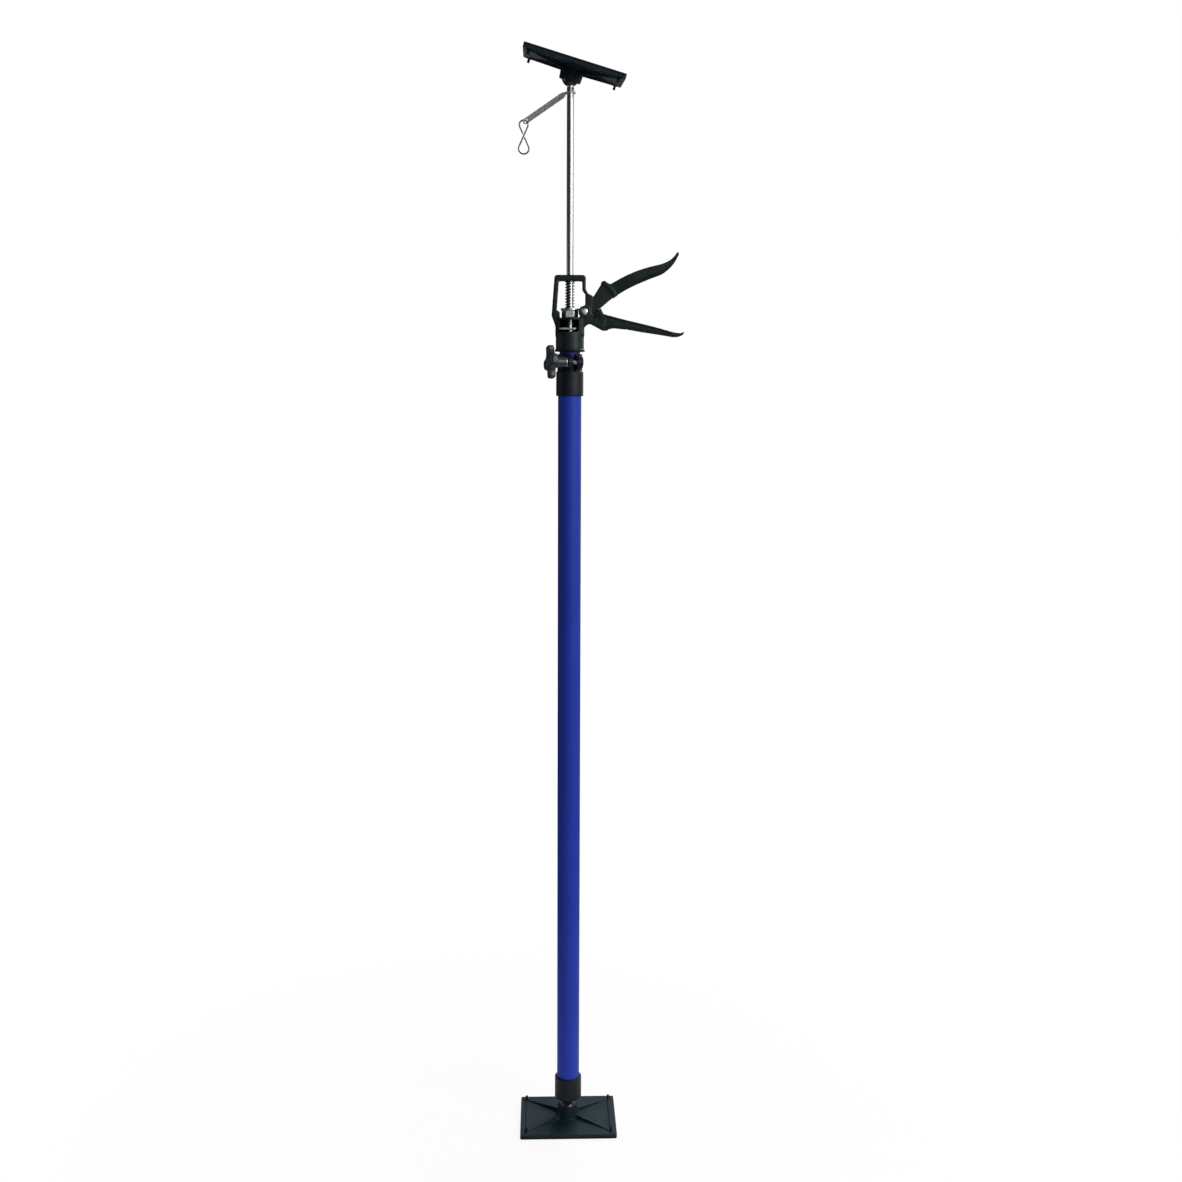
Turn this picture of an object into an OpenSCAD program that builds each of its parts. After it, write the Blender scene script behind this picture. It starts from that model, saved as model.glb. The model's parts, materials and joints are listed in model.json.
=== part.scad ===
// Telescopic support pole for ceiling boards: a ball-jointed foot, two telescoping tubes,
// a clamp collar, a hand-pumped rod jack and a ball-jointed head plate.
// Millimetres. The pole stands along Z and its foot pad rests on z = 0.

/* [Plates] */
// Length of the foot plate and of the head plate
plate_len = 130; // [110:1:180]
// Depth of both plates
plate_depth = 105; // [80:1:140]
// Thickness of both plates
plate_t = 4; // [3:0.5:6]
// Corner radius of both plates and of their pads
plate_r = 3; // [1:0.5:10]
// Thickness of the rubber pads
pad_t = 2.5; // [1.5:0.5:5]
// Diameter of the pads' corner plugs
plug_d = 3.6; // [3:0.2:6]
// Height of the corner plugs above the plate
plug_h = 6; // [3:0.5:10]
// Distance of the plugs from the short edges
plug_inset_x = 8; // [6:0.5:14]
// Distance of the plugs from the long edges
plug_inset_y = 9; // [6:0.5:14]
// Thickness of the crossed ribs
rib_t = 3; // [2:0.5:5]
// Height of the crossed ribs at the cup
rib_h = 7; // [4:0.5:10]
// Height of the crossed ribs at their ends
rib_end_h = 1.2; // [0.6:0.2:3]
// Width of the bead along each short edge
bead_w = 1.6; // [1:0.2:3]
// Height of the bead along each short edge
bead_h = 1; // [0.6:0.2:2]

/* [Ball joints] */
// Diameter of the foot ball and of the head ball
ball_d = 22; // [18:0.5:24]
// Height of the ball's centre above the plate
ball_lift = 12; // [11.5:0.5:14]
// Height of the cup above the plate
cup_h = 16; // [14:0.5:18]
// Outer diameter of the cup at the plate
cup_root_d = 30; // [29:0.5:36]
// Outer diameter of the cup at its rim
cup_rim_d = 27.6; // [26:0.2:32]
// Width of the chamfer inside the cup's rim
cup_chamfer = 0.8; // [0.4:0.1:1.4]

/* [Foot] */
// Distance from the foot ball's centre to the sleeve
foot_gap = 15.5; // [15:0.5:25]
// Diameter of the stud's neck
foot_neck_d = 11; // [9:0.5:12]
// Diameter of the stud's flange
foot_flange_d = 18; // [15:0.5:19]
// Thickness of the stud's flange
foot_flange_t = 3; // [2:0.5:4]
// Diameter of the stud's shank
foot_shank_d = 10; // [8:0.5:12]
// Length of the shank above the sleeve's floor
foot_shank_len = 10; // [9:0.5:16]
// Width of the stud nut across its flats
stud_nut_af = 17; // [15:0.5:19]
// Height of the stud nut
stud_nut_h = 8; // [5:0.5:8]
// Outer diameter of the foot sleeve
sleeve_d = 36; // [34:0.5:42]
// Height of the foot sleeve
sleeve_h = 30.5; // [20:0.5:50]
// Thickness of the foot sleeve's floor
sleeve_floor_t = 4; // [3:0.5:8]
// Width of the chamfers on the sleeve and on the collar
sleeve_chamfer = 1.2; // [0.5:0.1:1.5]

/* [Tubes] */
// Outer diameter of the outer tube
outer_d = 30; // [29:0.5:32]
// Length of the outer tube
outer_len = 980; // [600:5:1400]
// Wall of the outer tube
outer_wall = 1.2; // [1:0.1:1.2]
// Outer diameter of the inner tube
inner_d = 26.4; // [25:0.1:26.8]
// Wall of the inner tube
inner_wall = 1.2; // [1:0.1:2]
// Length of the inner tube
inner_len = 998; // [600:1:1000]
// Thickness of the flange of the bush in the inner tube's lower end
bush_flange_t = 3; // [2:0.5:6]
// Length of the bush inside the inner tube
bush_plug_len = 14; // [8:1:25]
// Bore of the bush
bush_bore_d = 16; // [10:0.5:19]
// Least distance from the foot's stud to the bush
bush_clear = 6; // [4:0.5:40]

/* [Clamp collar] */
// Outer diameter of the collar's lower sleeve
collar_d = 35; // [34:0.5:40]
// Height of the collar's lower sleeve
collar_h = 31; // [20:1:50]
// Outer diameter of the collar's split ring
split_d = 32; // [31:0.2:33]
// Height of the collar's split ring
split_h = 22; // [18:1:40]
// Width of the slit
slit_w = 6; // [3:0.5:8]
// Turn of the slit about the pole, seen from above
slit_yaw = 17; // [0:1:60]
// Thickness of each ear
ear_t = 7.2; // [6:0.2:10]
// Radius of each ear
ear_r = 8; // [7:0.5:8.5]
// Distance of the clamp bolt from the pole's axis
bolt_offset = 20.5; // [20:0.5:24]
// Diameter of the clamp bolt
bolt_d = 6; // [5:0.5:8]
// Width of the bolt's head across its flats
bolt_head_af = 10; // [9:0.5:12]
// Thickness of the bolt's head
bolt_head_t = 4; // [3:0.2:4.6]
// Diameter of the clamp washer
clamp_washer_d = 13; // [11:0.5:16]
// Thickness of the clamp washer
clamp_washer_t = 1.5; // [1:0.1:2]

/* [Clamp knob] */
// Diameter over the knob's lobes
knob_d = 42; // [36:1:50]
// Thickness of the knob's lobes
knob_t = 9; // [7:0.5:12]
// Diameter of the knob's boss
knob_boss_d = 15; // [12:0.5:18]
// Length of the knob's boss
knob_boss_len = 14.5; // [10:0.5:18]
// Radius of the scallops between the lobes
knob_scallop_r = 9.5; // [7:0.5:10]
// Distance of the scallops from the knob's axis
knob_scallop_offset = 22.5; // [22:0.5:26]
// Rounding of the knob's edge
knob_edge_r = 2.6; // [1:0.1:3.2]
// Turn of the lobes about the bolt
knob_spin = 12; // [0:1:89]
// Diameter of the threaded insert in the knob
insert_d = 9; // [8.5:0.5:11]

/* [Jack body] */
// Gap between the collar and the jack at rest
jack_gap = 3.2; // [3.2:0.1:40]
// Outer diameter of the jack's lower cylinder
jack_d = 36; // [35:0.5:40]
// Height of the jack body
jack_h = 95.6; // [92:0.2:130]
// Depth of the jack's frame from front to back
frame_depth = 19.2; // [17:0.2:24]
// Reach of the frame's left side at the top
frame_left = 19.4; // [18.5:0.1:22]
// Reach of the frame's right side
frame_right = 20.2; // [19.5:0.1:22]
// Reach of the left shoulder
shoulder_x = 23.2; // [21:0.2:28]
// Height of the left shoulder
shoulder_z = 44.5; // [42:0.5:50]
// Height of the waist under the shoulder
waist_z = 31; // [28:0.5:36]
// Thickness of the left post
post_left_t = 5.2; // [4:0.1:6]
// Thickness of the right post
post_right_t = 4.6; // [3.6:0.1:6]
// Thickness of the top bar
bar_t = 6.9; // [5:0.1:10]
// Depth of the seat for the inner tube
seat_depth = 20; // [15:0.5:20]
// Thickness of the floor over the seat
jack_floor_t = 4.4; // [3:0.2:5]
// Diameter of the lower chamber
chamber_d = 30; // [29:0.5:31]
// Height of the lower chamber
chamber_h = 15.1; // [14:0.1:16]
// Thickness of the shelf over the chamber
shelf_t = 3; // [2.5:0.1:3.2]
// Left reach of the front window
window_left = 13.5; // [12:0.5:14]
// Right reach of the front window
window_right = 11.5; // [10:0.5:13]
// Corner radius of the front window
window_r = 3; // [1:0.5:5]
// Height of the lip at the jack's lower end
lip_h = 2.6; // [1.5:0.1:5]
// How far the lip stands out
lip_t = 1.2; // [0.6:0.1:2]

/* [Lever and handle] */
// Distance of the lever's pivot from the rod's axis
pivot_x = 18; // [17.8:0.1:19]
// Height of the pivot above the shelf's top
pivot_lift = 7.5; // [7.5:0.1:8.5]
// Length of the lever, which the fixed handle follows
grip_len = 120; // [110:1:140]
// Thickness of the lever's root
lever_t = 9; // [7:0.2:10]
// Thickness of the lever's grip
grip_t = 16; // [14:0.5:19]
// Thickness of the fixed handle
handle_t = 16; // [14:0.5:19]
// Depth of the recess in each side of the handle
handle_recess = 1.2; // [0.6:0.1:1.4]
// Radius of the lever's hub
lever_hub_r = 5.8; // [5:0.1:6]
// Radius of the lug around the pivot
lug_r = 7; // [6.4:0.1:7.2]
// Diameter of the lever pin
pin_d = 6; // [5:0.2:7]
// Diameter of the lever pin's head
pin_head_d = 9.4; // [8:0.2:11]
// Thickness of the lever pin's head
pin_head_t = 1.8; // [1:0.1:2.5]
// Radius of the lever's nose
nose_r = 1.6; // [1.4:0.1:1.7]
// How far the nose reaches towards the rod
nose_reach = 7.3; // [7:0.1:7.4]
// How far the nose lies under the pivot
nose_drop = 9.3; // [9.3:0.1:10]

/* [Drive and lock] */
// Width of the drive block across its flats
block_af = 18.5; // [17:0.1:18.8]
// Height of the drive block
block_h = 9.3; // [8:0.1:10]
// Diameter of the drive washer
drive_washer_d = 23.6; // [20:0.2:23.6]
// Thickness of the drive washer
drive_washer_t = 2.5; // [2:0.1:3]
// Outer diameter of the return spring
spring_d = 12.6; // [12.4:0.1:15]
// Wire of the return spring
spring_wire = 1.3; // [1:0.1:1.4]
// Turns of the return spring
spring_turns = 9; // [6:1:12]
// Wire of the lock spring
lock_wire = 1.1; // [0.9:0.1:1.2]
// Turns of the lock spring
lock_turns = 4; // [3:1:4]
// Thickness of the lock plate
lock_t = 2.5; // [2:0.1:3]
// Tilt of the lock plate at rest
lock_tilt = 5; // [4:0.5:5.5]
// Height of the lock plate's fulcrum above the chamber's floor
lock_lift = 4.9; // [4.5:0.1:5.5]
// Distance of the fulcrum behind the rod's axis
lock_pivot_y = 11; // [10:0.1:11.5]
// Radius of the lock plate's round part
lock_r = 13.5; // [12.5:0.1:13.8]
// Left reach of the release tab
tab_left = 13; // [10:0.1:13.2]
// Right reach of the release tab
tab_right = 7.5; // [6:0.1:10]
// How far the release tab stands out of the jack
tab_out = 2; // [1:0.1:6]

/* [Rod] */
// Diameter of the rod
rod_d = 9; // [8.4:0.1:9]
// Length of the rod
rod_len = 334; // [330:1:600]
// Distance from the rod stop to the rod guide
stop_clear = 26; // [26:1:60]
// Diameter of the rod stop
rod_stop_d = 14; // [12:0.5:18]
// Height of the rod stop
rod_stop_h = 6; // [4:0.5:12]
// Length of rod under the rod stop
rod_tail = 2; // [1:0.5:6]
// Diameter of the rod guide in the jack's floor
guide_d = 14; // [12:0.5:17]
// Thickness of the rod guide's flange
guide_flange_t = 2; // [1.5:0.1:3]

/* [Hook] */
// Width of the hook strap
strap_w = 8.5; // [7:0.5:10]
// Thickness of the hook strap
strap_t = 1.4; // [1:0.1:2]
// Slope of the hook strap
strap_slope = 34; // [25:1:40]
// Distance from the rod's axis to the S-hook
strap_reach = 55.5; // [45:0.5:80]
// Diameter of the hole for the S-hook
strap_hole_d = 4.6; // [4.4:0.1:4.8]
// Wire of the S-hook
s_wire = 2; // [1.6:0.1:2]
// Radius of the S-hook's upper loop
s_upper_r = 5.5; // [5.2:0.1:6]
// Radius of the S-hook's lower loop
s_lower_r = 6.5; // [5.5:0.1:8]
// Distance between the centres of the S-hook's loops
s_pitch = 29; // [24:0.5:40]

/* [Head] */
// Distance from the hook strap to the head ball's centre
head_neck = 17.4; // [17:0.1:30]
// Diameter of the threaded shank under the head ball
head_shank_d = 6; // [5:0.5:6.5]
// Length of the threaded shank in the rod
head_shank_len = 12; // [8:0.5:20]
// Tilt of the head plate to the right
head_tilt_side = 16.2; // [0:0.1:24]
// Tilt of the head plate to the front
head_tilt_front = 6.2; // [0:0.1:24]
// Turn of the head plate about the rod
head_turn = 4.2; // [-45:0.1:45]
// Turn of the foot plate about the pole
foot_turn = 2; // [-45:0.1:45]

/* [Hidden] */
$fn = 64;

// Overrun of every cut
eps = 0.5;
// Radial clearance of a shaft in its hole
fit = 0.05;
// Radial clearance of a piece pressed or screwed into another
press = 0.02;
// Clearance between pieces that move past each other
gap = 0.3;
// Axial play between faces that turn on each other
play = 0.05;

// Heights of the main joints above the floor
plate_top = pad_t + plate_t;
foot_ball_z = plate_top + ball_lift;
sleeve_z = foot_ball_z + foot_gap;
outer_z = sleeve_z + sleeve_floor_t;
outer_top = outer_z + outer_len;
collar_top = outer_top + split_h;
// The pole closes until the jack meets the collar or the bush meets the foot's stud
stud_top = outer_z + foot_shank_len;
jack_over_bush = bush_flange_t + inner_len - seat_depth + guide_flange_t;
jack_z = max(collar_top + jack_gap, stud_top + bush_clear + jack_over_bush);
guide_z = jack_z + seat_depth - guide_flange_t;
inner_top = guide_z;
inner_z = inner_top - inner_len;
rod_z = guide_z - stop_clear - rod_stop_h - rod_tail;
rod_top = rod_z + rod_len;
strap_top = rod_top + strap_t + 2 * play;
head_ball_z = strap_top + head_neck;
// Where the strap bends down, and the height of its hole for the S-hook
strap_bend_x = rod_d / 2 + strap_t / 2;
strap_z = rod_top + play + strap_t / 2;
strap_hole_z = strap_z - (strap_reach - strap_bend_x) * tan(strap_slope);

ball_r = ball_d / 2;
plug_x = plate_len / 2 - plug_inset_x;
plug_y = plate_depth / 2 - plug_inset_y;

// Clamp
ear_z = collar_top - ear_r - ear_r / 3;
ear_face = slit_w / 2 + ear_t;
knob_face = ear_face + clamp_washer_t + 2 * play;
knob_lobe_start = knob_face + knob_boss_len;
bolt_end = knob_lobe_start + knob_t / 2;

// Jack, measured from its lower end
jack_r = jack_d / 2;
chamber_z = seat_depth + jack_floor_t;
shelf_z = chamber_z + chamber_h;
drive_z = shelf_z + shelf_t;
pivot_z = drive_z + pivot_lift;
spring_z = drive_z + block_h + drive_washer_t;
bar_z = jack_h - bar_t;
slot_t = lever_t + 2 * gap;
corner_r = post_left_t * 0.75;

// Radius at which the lever's wide grip starts, as a share of the lever's length
grip_start_share = 0.35;
// Lower edge from the hub to the tip, then the upper edge back to the hub
lever_shares = [
    [0.025, -0.050, 0.02], [0.088, -0.029, 0.10], [0.185, 0.047, 0.30], [0.290, 0.136, 0.60],
    [0.419, 0.219, 1.20], [0.533, 0.279, 1.20], [0.694, 0.347, 1.20], [0.824, 0.394, 0.20],
    [0.892, 0.444, 0.60], [0.953, 0.509, 0.60], [0.999, 0.596, 0.02], [0.990, 0.634, 0.010],
    [0.928, 0.548, 0.30], [0.823, 0.497, 0.40], [0.693, 0.470, 1.20], [0.532, 0.418, 1.20],
    [0.403, 0.358, 1.20], [0.273, 0.287, 0.03], [0.223, 0.318, 0.02], [0.196, 0.318, 0.02],
    [0.099, 0.163, 0.02], [0.029, 0.067, 0.04], [-0.017, 0.033, 0]
];
// Lower edge from the cylinder to the tip, then the upper edge back to the cylinder
handle_shares = [
    [-0.033, -0.180, 0], [0.004, -0.150, 0.02], [0.055, -0.119, 0.05], [0.123, -0.153, 0.15],
    [0.194, -0.193, 0.02], [0.246, -0.193, 0.02], [0.263, -0.178, 0.02], [0.312, -0.167, 0.10],
    [0.450, -0.181, 1.20], [0.613, -0.209, 1.20], [0.778, -0.233, 1.20], [0.924, -0.256, 0.30],
    [0.998, -0.259, 0.15], [1.052, -0.236, 0.03], [1.072, -0.200, 0.012],
    [1.031, -0.218, 0.06], [0.964, -0.213, 0.20], [0.777, -0.161, 1.20], [0.613, -0.121, 1.20],
    [0.449, -0.084, 1.20], [0.263, -0.037, 0.10], [0.205, -0.021, 0.03], [0.179, 0.038, 0.01],
    [0.086, -0.029, 0], [-0.033, -0.042, 0]
];
recess_shares = [
    [0.217, -0.168, 0.01], [0.308, -0.145, 0.06], [0.450, -0.158, 0.60], [0.775, -0.210, 0.60],
    [0.915, -0.232, 0.01], [0.915, -0.219, 0.01], [0.775, -0.180, 0.60], [0.450, -0.103, 0.60],
    [0.232, -0.052, 0.02]
];
pocket_shares = [
    [0.092, -0.073, 0.01], [0.163, -0.073, 0.01], [0.163, -0.004, 0.01], [0.098, -0.042, 0.01]
];
// Room for the lever between the cheeks
slot_shares = [
    [-0.117, -0.103, 0], [-0.017, -0.103, 0], [0.025, -0.083, 0], [0.200, -0.083, 0],
    [0.360, -0.048, 0], [0.360, 0.283, 0], [0.094, 0.175, 0], [0.085, 0.167, 0],
    [0.0125, 0.079, 0], [-0.117, 0.079, 0]
];
cheek_shares = [[0.042, 0.190, 0.02], [0.094, 0.163, 0.004], [0.086, -0.029, 0.01]];

// Rings on each turn of a spring, and sides of its wire
coil_rings = 8;
coil_sides = 6;
// Rings on each loop of the S-hook, and sides of its wire
loop_rings = 12;
loop_sides = 8;
// Where the strap holds the upper loop, and how far the hook leans from there
hang_turn = 58;
hang_lean = 0;
// Largest turn of one segment on a rounded corner
corner_turn = 20;
// Segments on a rounded edge
edge_steps = 5;

function unit(v) = v / norm(v);

// The arc that rounds the corner at p, between its neighbours a and b
function corner_arc(a, p, b, r) =
    let (
        u = unit(a - p),
        v = unit(b - p),
        half = acos(max(-1, min(1, u * v))) / 2,
        room = min(norm(a - p), norm(b - p)) * 0.49,
        arc_r = min(r, room * tan(half)),
        centre = p + unit(u + v) * arc_r / sin(half),
        from = p + u * arc_r / tan(half) - centre,
        to = p + v * arc_r / tan(half) - centre,
        start = atan2(from.y, from.x),
        sweep = (atan2(to.y, to.x) - start + 540) % 360 - 180,
        steps = max(1, round((180 - 2 * half) / corner_turn + 0.4))
    )
    [for (i = [0 : steps])
        let (turn = start + sweep * i / steps)
        centre + arc_r * [cos(turn), sin(turn)]];

// An outline whose corners, each [x, y, radius], are rounded
function rounded(corners) =
    let (count = len(corners))
    [for (i = [0 : count - 1])
        let (
            a = corners[(i + count - 1) % count],
            p = corners[i],
            b = corners[(i + 1) % count]
        )
        each (p[2] > 0 ? corner_arc([a.x, a.y], [p.x, p.y], [b.x, b.y], p[2]) : [[p.x, p.y]])];

// Corners, which run anticlockwise, moved inwards by d
function inset(corners, d) =
    let (count = len(corners))
    [for (i = [0 : count - 1])
        let (
            a = corners[(i + count - 1) % count],
            p = corners[i],
            b = corners[(i + 1) % count],
            u = unit([p.x - a.x, p.y - a.y]),
            v = unit([b.x - p.x, b.y - p.y]),
            m = [-u.y, u.x],
            n = [-v.y, v.x],
            moved = [p.x, p.y] + d * (m + n) / (1 + m * n),
            turned = u.x * v.y > u.y * v.x ? -d : d
        )
        [moved.x, moved.y, p[2] > 0 ? max(play, p[2] + turned) : 0]];

// Corners given as shares of the grip's length, placed about the pivot
function about_pivot(shares) =
    [for (s = shares) [pivot_x + s[0] * grip_len, pivot_z + s[1] * grip_len, s[2] * grip_len]];

// A plate across the XZ plane, from its outline
module side_plate(points, thickness) {
    rotate([90, 0, 0])
        linear_extrude(height = thickness, center = true)
            polygon(points);
}

// A tube between two heights
module pipe(outer_r, inner_r, low, high) {
    difference() {
        translate([0, 0, low])
            cylinder(r = outer_r, h = high - low);
        translate([0, 0, low - eps])
            cylinder(r = inner_r, h = high - low + 2 * eps);
    }
}

// A hexagonal nut with chamfered corners, standing on z = 0
module hexagon(across_flats, height, bore_r) {
    corner = across_flats / sqrt(3);
    bevel = corner - across_flats / 2;
    difference() {
        intersection() {
            cylinder(r = corner, h = height, $fn = 6);
            rotate_extrude()
                polygon([
                    [0, 0], [corner - bevel, 0], [corner, bevel / 2],
                    [corner, height - bevel / 2], [corner - bevel, height], [0, height]
                ]);
        }
        translate([0, 0, -eps])
            cylinder(r = bore_r, h = height + 2 * eps);
    }
}

// Centre of the wire along a helical spring, at a number of turns from its start
function coil_centre(mean_r, wire_r, low, high, turns, at) =
    [mean_r * cos(360 * at), mean_r * sin(360 * at), low + wire_r + (high - low - 2 * wire_r) * at / turns];

// Least gap between turns of a spring
function coil_gap(mean_r, wire_r, low, high, turns) =
    min([for (i = [0 : turns * coil_rings - coil_rings / 2])
        for (j = [i + coil_rings / 2 : turns * coil_rings])
            norm(coil_centre(mean_r, wire_r, low, high, turns, i / coil_rings)
                - coil_centre(mean_r, wire_r, low, high, turns, j / coil_rings))]) - 2 * wire_r;

// A wire as one unbroken tube along centre points, each with the direction of its first corner
module wire(centres, outs, ups, radius, sides) {
    last = len(centres) - 1;
    points = [for (i = [0 : last])
        for (j = [0 : sides - 1])
            let (turn = 360 * j / sides)
            centres[i] + radius * (cos(turn) * outs[i] + sin(turn) * ups[i])];
    walls = [for (i = [0 : last - 1])
        for (j = [0 : sides - 1])
            let (
                k = (j + 1) % sides,
                a = i * sides + j,
                b = i * sides + k,
                c = a + sides,
                d = b + sides
            )
            each [[a, c, b], [b, c, d]]];
    caps = [for (j = [1 : sides - 2])
        each [[0, j, j + 1], [last * sides, last * sides + j + 1, last * sides + j]]];
    polyhedron(points = points, faces = concat(walls, caps));
}

// A helical spring between two heights
module coil(mean_r, wire_r, low, high, turns) {
    steps = [for (i = [0 : turns * coil_rings]) i / coil_rings];
    wire(
        [for (at = steps) coil_centre(mean_r, wire_r, low, high, turns, at)],
        [for (at = steps) [cos(360 * at), sin(360 * at), 0]],
        [for (at = steps) [0, 0, 1]],
        wire_r, coil_sides
    );
}

// The plate that foot and head share. The ball's centre is at the origin and the cup opens upwards.
module cup_plate() {
    top = -ball_lift;
    rim = cup_h - ball_lift;
    rib_len = norm([plug_x, plug_y]) - plug_d;
    rib_turn = atan2(plug_y, plug_x);
    difference() {
        union() {
            translate([0, 0, top - plate_t])
                linear_extrude(height = plate_t)
                    polygon(plate_outline());
            translate([0, 0, top])
                cylinder(r1 = cup_root_d / 2, r2 = cup_rim_d / 2, h = cup_h);
            for (side = [rib_turn, 180 - rib_turn, 180 + rib_turn, -rib_turn])
                rotate([0, 0, side])
                    translate([0, 0, top])
                        side_plate([[0, -plate_t / 2], [rib_len, -plate_t / 2], [rib_len, rib_end_h], [0, rib_h]],
                            rib_t);
            for (side = [-1, 1])
                translate([side * plug_x - bead_w / 2, -plug_y, top - plate_t / 2])
                    cube([bead_w, 2 * plug_y, bead_h + plate_t / 2]);
        }
        sphere(r = ball_r + fit);
        translate([0, 0, rim - cup_chamfer])
            cylinder(r1 = rim_r(rim), r2 = rim_r(rim) + cup_chamfer + eps, h = cup_chamfer + eps);
        for (x = [-plug_x, plug_x])
            for (y = [-plug_y, plug_y])
                translate([x, y, top - plate_t - eps])
                    cylinder(r = plug_d / 2 + press, h = plate_t + bead_h + 2 * eps);
    }
}

// Radius of the ball seat at a height above the ball's centre
function rim_r(height) = sqrt(pow(ball_r + fit, 2) - pow(height, 2));

function plate_outline() =
    rounded([
        [-plate_len / 2, -plate_depth / 2, plate_r], [plate_len / 2, -plate_depth / 2, plate_r],
        [plate_len / 2, plate_depth / 2, plate_r], [-plate_len / 2, plate_depth / 2, plate_r]
    ]);

// The rubber pad that foot and head share, with its plugs through the plate's corners
module plugged_pad() {
    bottom = -ball_lift - plate_t - pad_t;
    translate([0, 0, bottom])
        linear_extrude(height = pad_t)
            polygon(plate_outline());
    for (x = [-plug_x, plug_x])
        for (y = [-plug_y, plug_y])
            translate([x, y, bottom + pad_t / 2])
                cylinder(r1 = plug_d / 2, r2 = plug_d * 0.45, h = pad_t / 2 + plate_t + plug_h);
}

module at_foot() {
    translate([0, 0, foot_ball_z])
        rotate(foot_turn)
            children();
}

module at_head() {
    translate([0, 0, head_ball_z])
        rotate([head_tilt_front, head_tilt_side, 0])
            rotate(head_turn)
                rotate([180, 0, 0])
                    children();
}

module at_jack() {
    translate([0, 0, jack_z])
        children();
}

// The clamp's frame: the slit faces -Y, and local Z runs along the bolt towards the knob
module at_bolt() {
    rotate([0, 0, slit_yaw])
        translate([0, -bolt_offset, ear_z])
            rotate([0, -90, 0])
                children();
}

module foot_pad() {
    color("#1b1d1e")
        at_foot()
            plugged_pad();
}

module foot_plate() {
    color("#1d2527")
        at_foot()
            cup_plate();
}

module foot_ball() {
    color("#2a2d2f")
        at_foot()
            sphere(r = ball_r);
}

module foot_stud() {
    top = foot_gap - play;
    color("#8d9093")
        at_foot()
            difference() {
                union() {
                    cylinder(r = foot_neck_d / 2, h = top);
                    translate([0, 0, top - foot_flange_t])
                        cylinder(r = foot_flange_d / 2, h = foot_flange_t);
                    cylinder(r = foot_shank_d / 2, h = foot_gap + sleeve_floor_t + foot_shank_len);
                }
                sphere(r = ball_r + fit);
            }
}

module stud_nut() {
    color("#a9abad")
        translate([0, 0, outer_z + play])
            hexagon(stud_nut_af, stud_nut_h, foot_shank_d / 2 + press);
}

module foot_sleeve() {
    color("#16191b")
        difference() {
            translate([0, 0, sleeve_z])
                rotate_extrude()
                    polygon([
                        [0, 0], [sleeve_d / 2 - sleeve_chamfer, 0], [sleeve_d / 2, sleeve_chamfer],
                        [sleeve_d / 2, sleeve_h - sleeve_chamfer / 2],
                        [sleeve_d / 2 - sleeve_chamfer / 2, sleeve_h], [0, sleeve_h]
                    ]);
            translate([0, 0, outer_z])
                cylinder(r = outer_d / 2 + press, h = sleeve_h + eps);
            translate([0, 0, sleeve_z - eps])
                cylinder(r = foot_shank_d / 2 + fit, h = sleeve_floor_t + 2 * eps);
        }
}

module outer_tube() {
    color("#1f3fb8")
        pipe(outer_d / 2, outer_d / 2 - outer_wall, outer_z, outer_top);
}

module clamp_collar() {
    color("#15181a")
        difference() {
            union() {
                translate([0, 0, outer_top - collar_h])
                    rotate_extrude()
                        polygon([
                            [0, 0], [collar_d / 2 - sleeve_chamfer, 0], [collar_d / 2, sleeve_chamfer],
                            [collar_d / 2, collar_h - sleeve_chamfer], [split_d / 2, collar_h],
                            [split_d / 2, collar_h + split_h - sleeve_chamfer / 2],
                            [split_d / 2 - sleeve_chamfer / 2, collar_h + split_h], [0, collar_h + split_h]
                        ]);
                rotate([0, 0, slit_yaw])
                    translate([0, 0, ear_z])
                        rotate([0, 90, 0])
                            linear_extrude(height = 2 * ear_face, center = true)
                                ear_profile();
            }
            translate([0, 0, outer_top - collar_h - eps])
                cylinder(r = outer_d / 2 + press, h = collar_h + eps);
            translate([0, 0, outer_top - eps])
                cylinder(r = inner_d / 2 + fit, h = split_h + 2 * eps);
            rotate([0, 0, slit_yaw])
                translate([-slit_w / 2, -bolt_offset - ear_r - eps, outer_top])
                    cube([slit_w, bolt_offset + ear_r + eps, split_h + eps]);
            at_bolt() {
                translate([0, 0, -ear_face - eps])
                    cylinder(r = bolt_d / 2 + press, h = 2 * ear_face + 2 * eps);
                translate([0, 0, -ear_face - eps])
                    cylinder(r = bolt_head_af / sqrt(3) + press, h = bolt_head_t + eps, $fn = 6);
            }
        }
}

// Side view of an ear: x runs down and y runs towards the pole
module ear_profile() {
    translate([0, -bolt_offset])
        circle(r = ear_r);
    translate([-ear_r, -bolt_offset])
        square([2 * ear_r, bolt_offset - inner_d / 2 - fit - outer_wall]);
}

module clamp_bolt() {
    color("#c8cacc")
        at_bolt() {
            translate([0, 0, -ear_face])
                cylinder(r = bolt_head_af / sqrt(3), h = bolt_head_t, $fn = 6);
            translate([0, 0, -ear_face])
                cylinder(r = bolt_d / 2, h = ear_face + bolt_end);
        }
}

module clamp_washer() {
    color("#b4b6b8")
        at_bolt()
            pipe(clamp_washer_d / 2, bolt_d / 2 + fit, ear_face + play, ear_face + play + clamp_washer_t);
}

module knob_insert() {
    color("#b08d3c")
        at_bolt()
            pipe(insert_d / 2, bolt_d / 2 + fit, knob_face, bolt_end + play);
}

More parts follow.
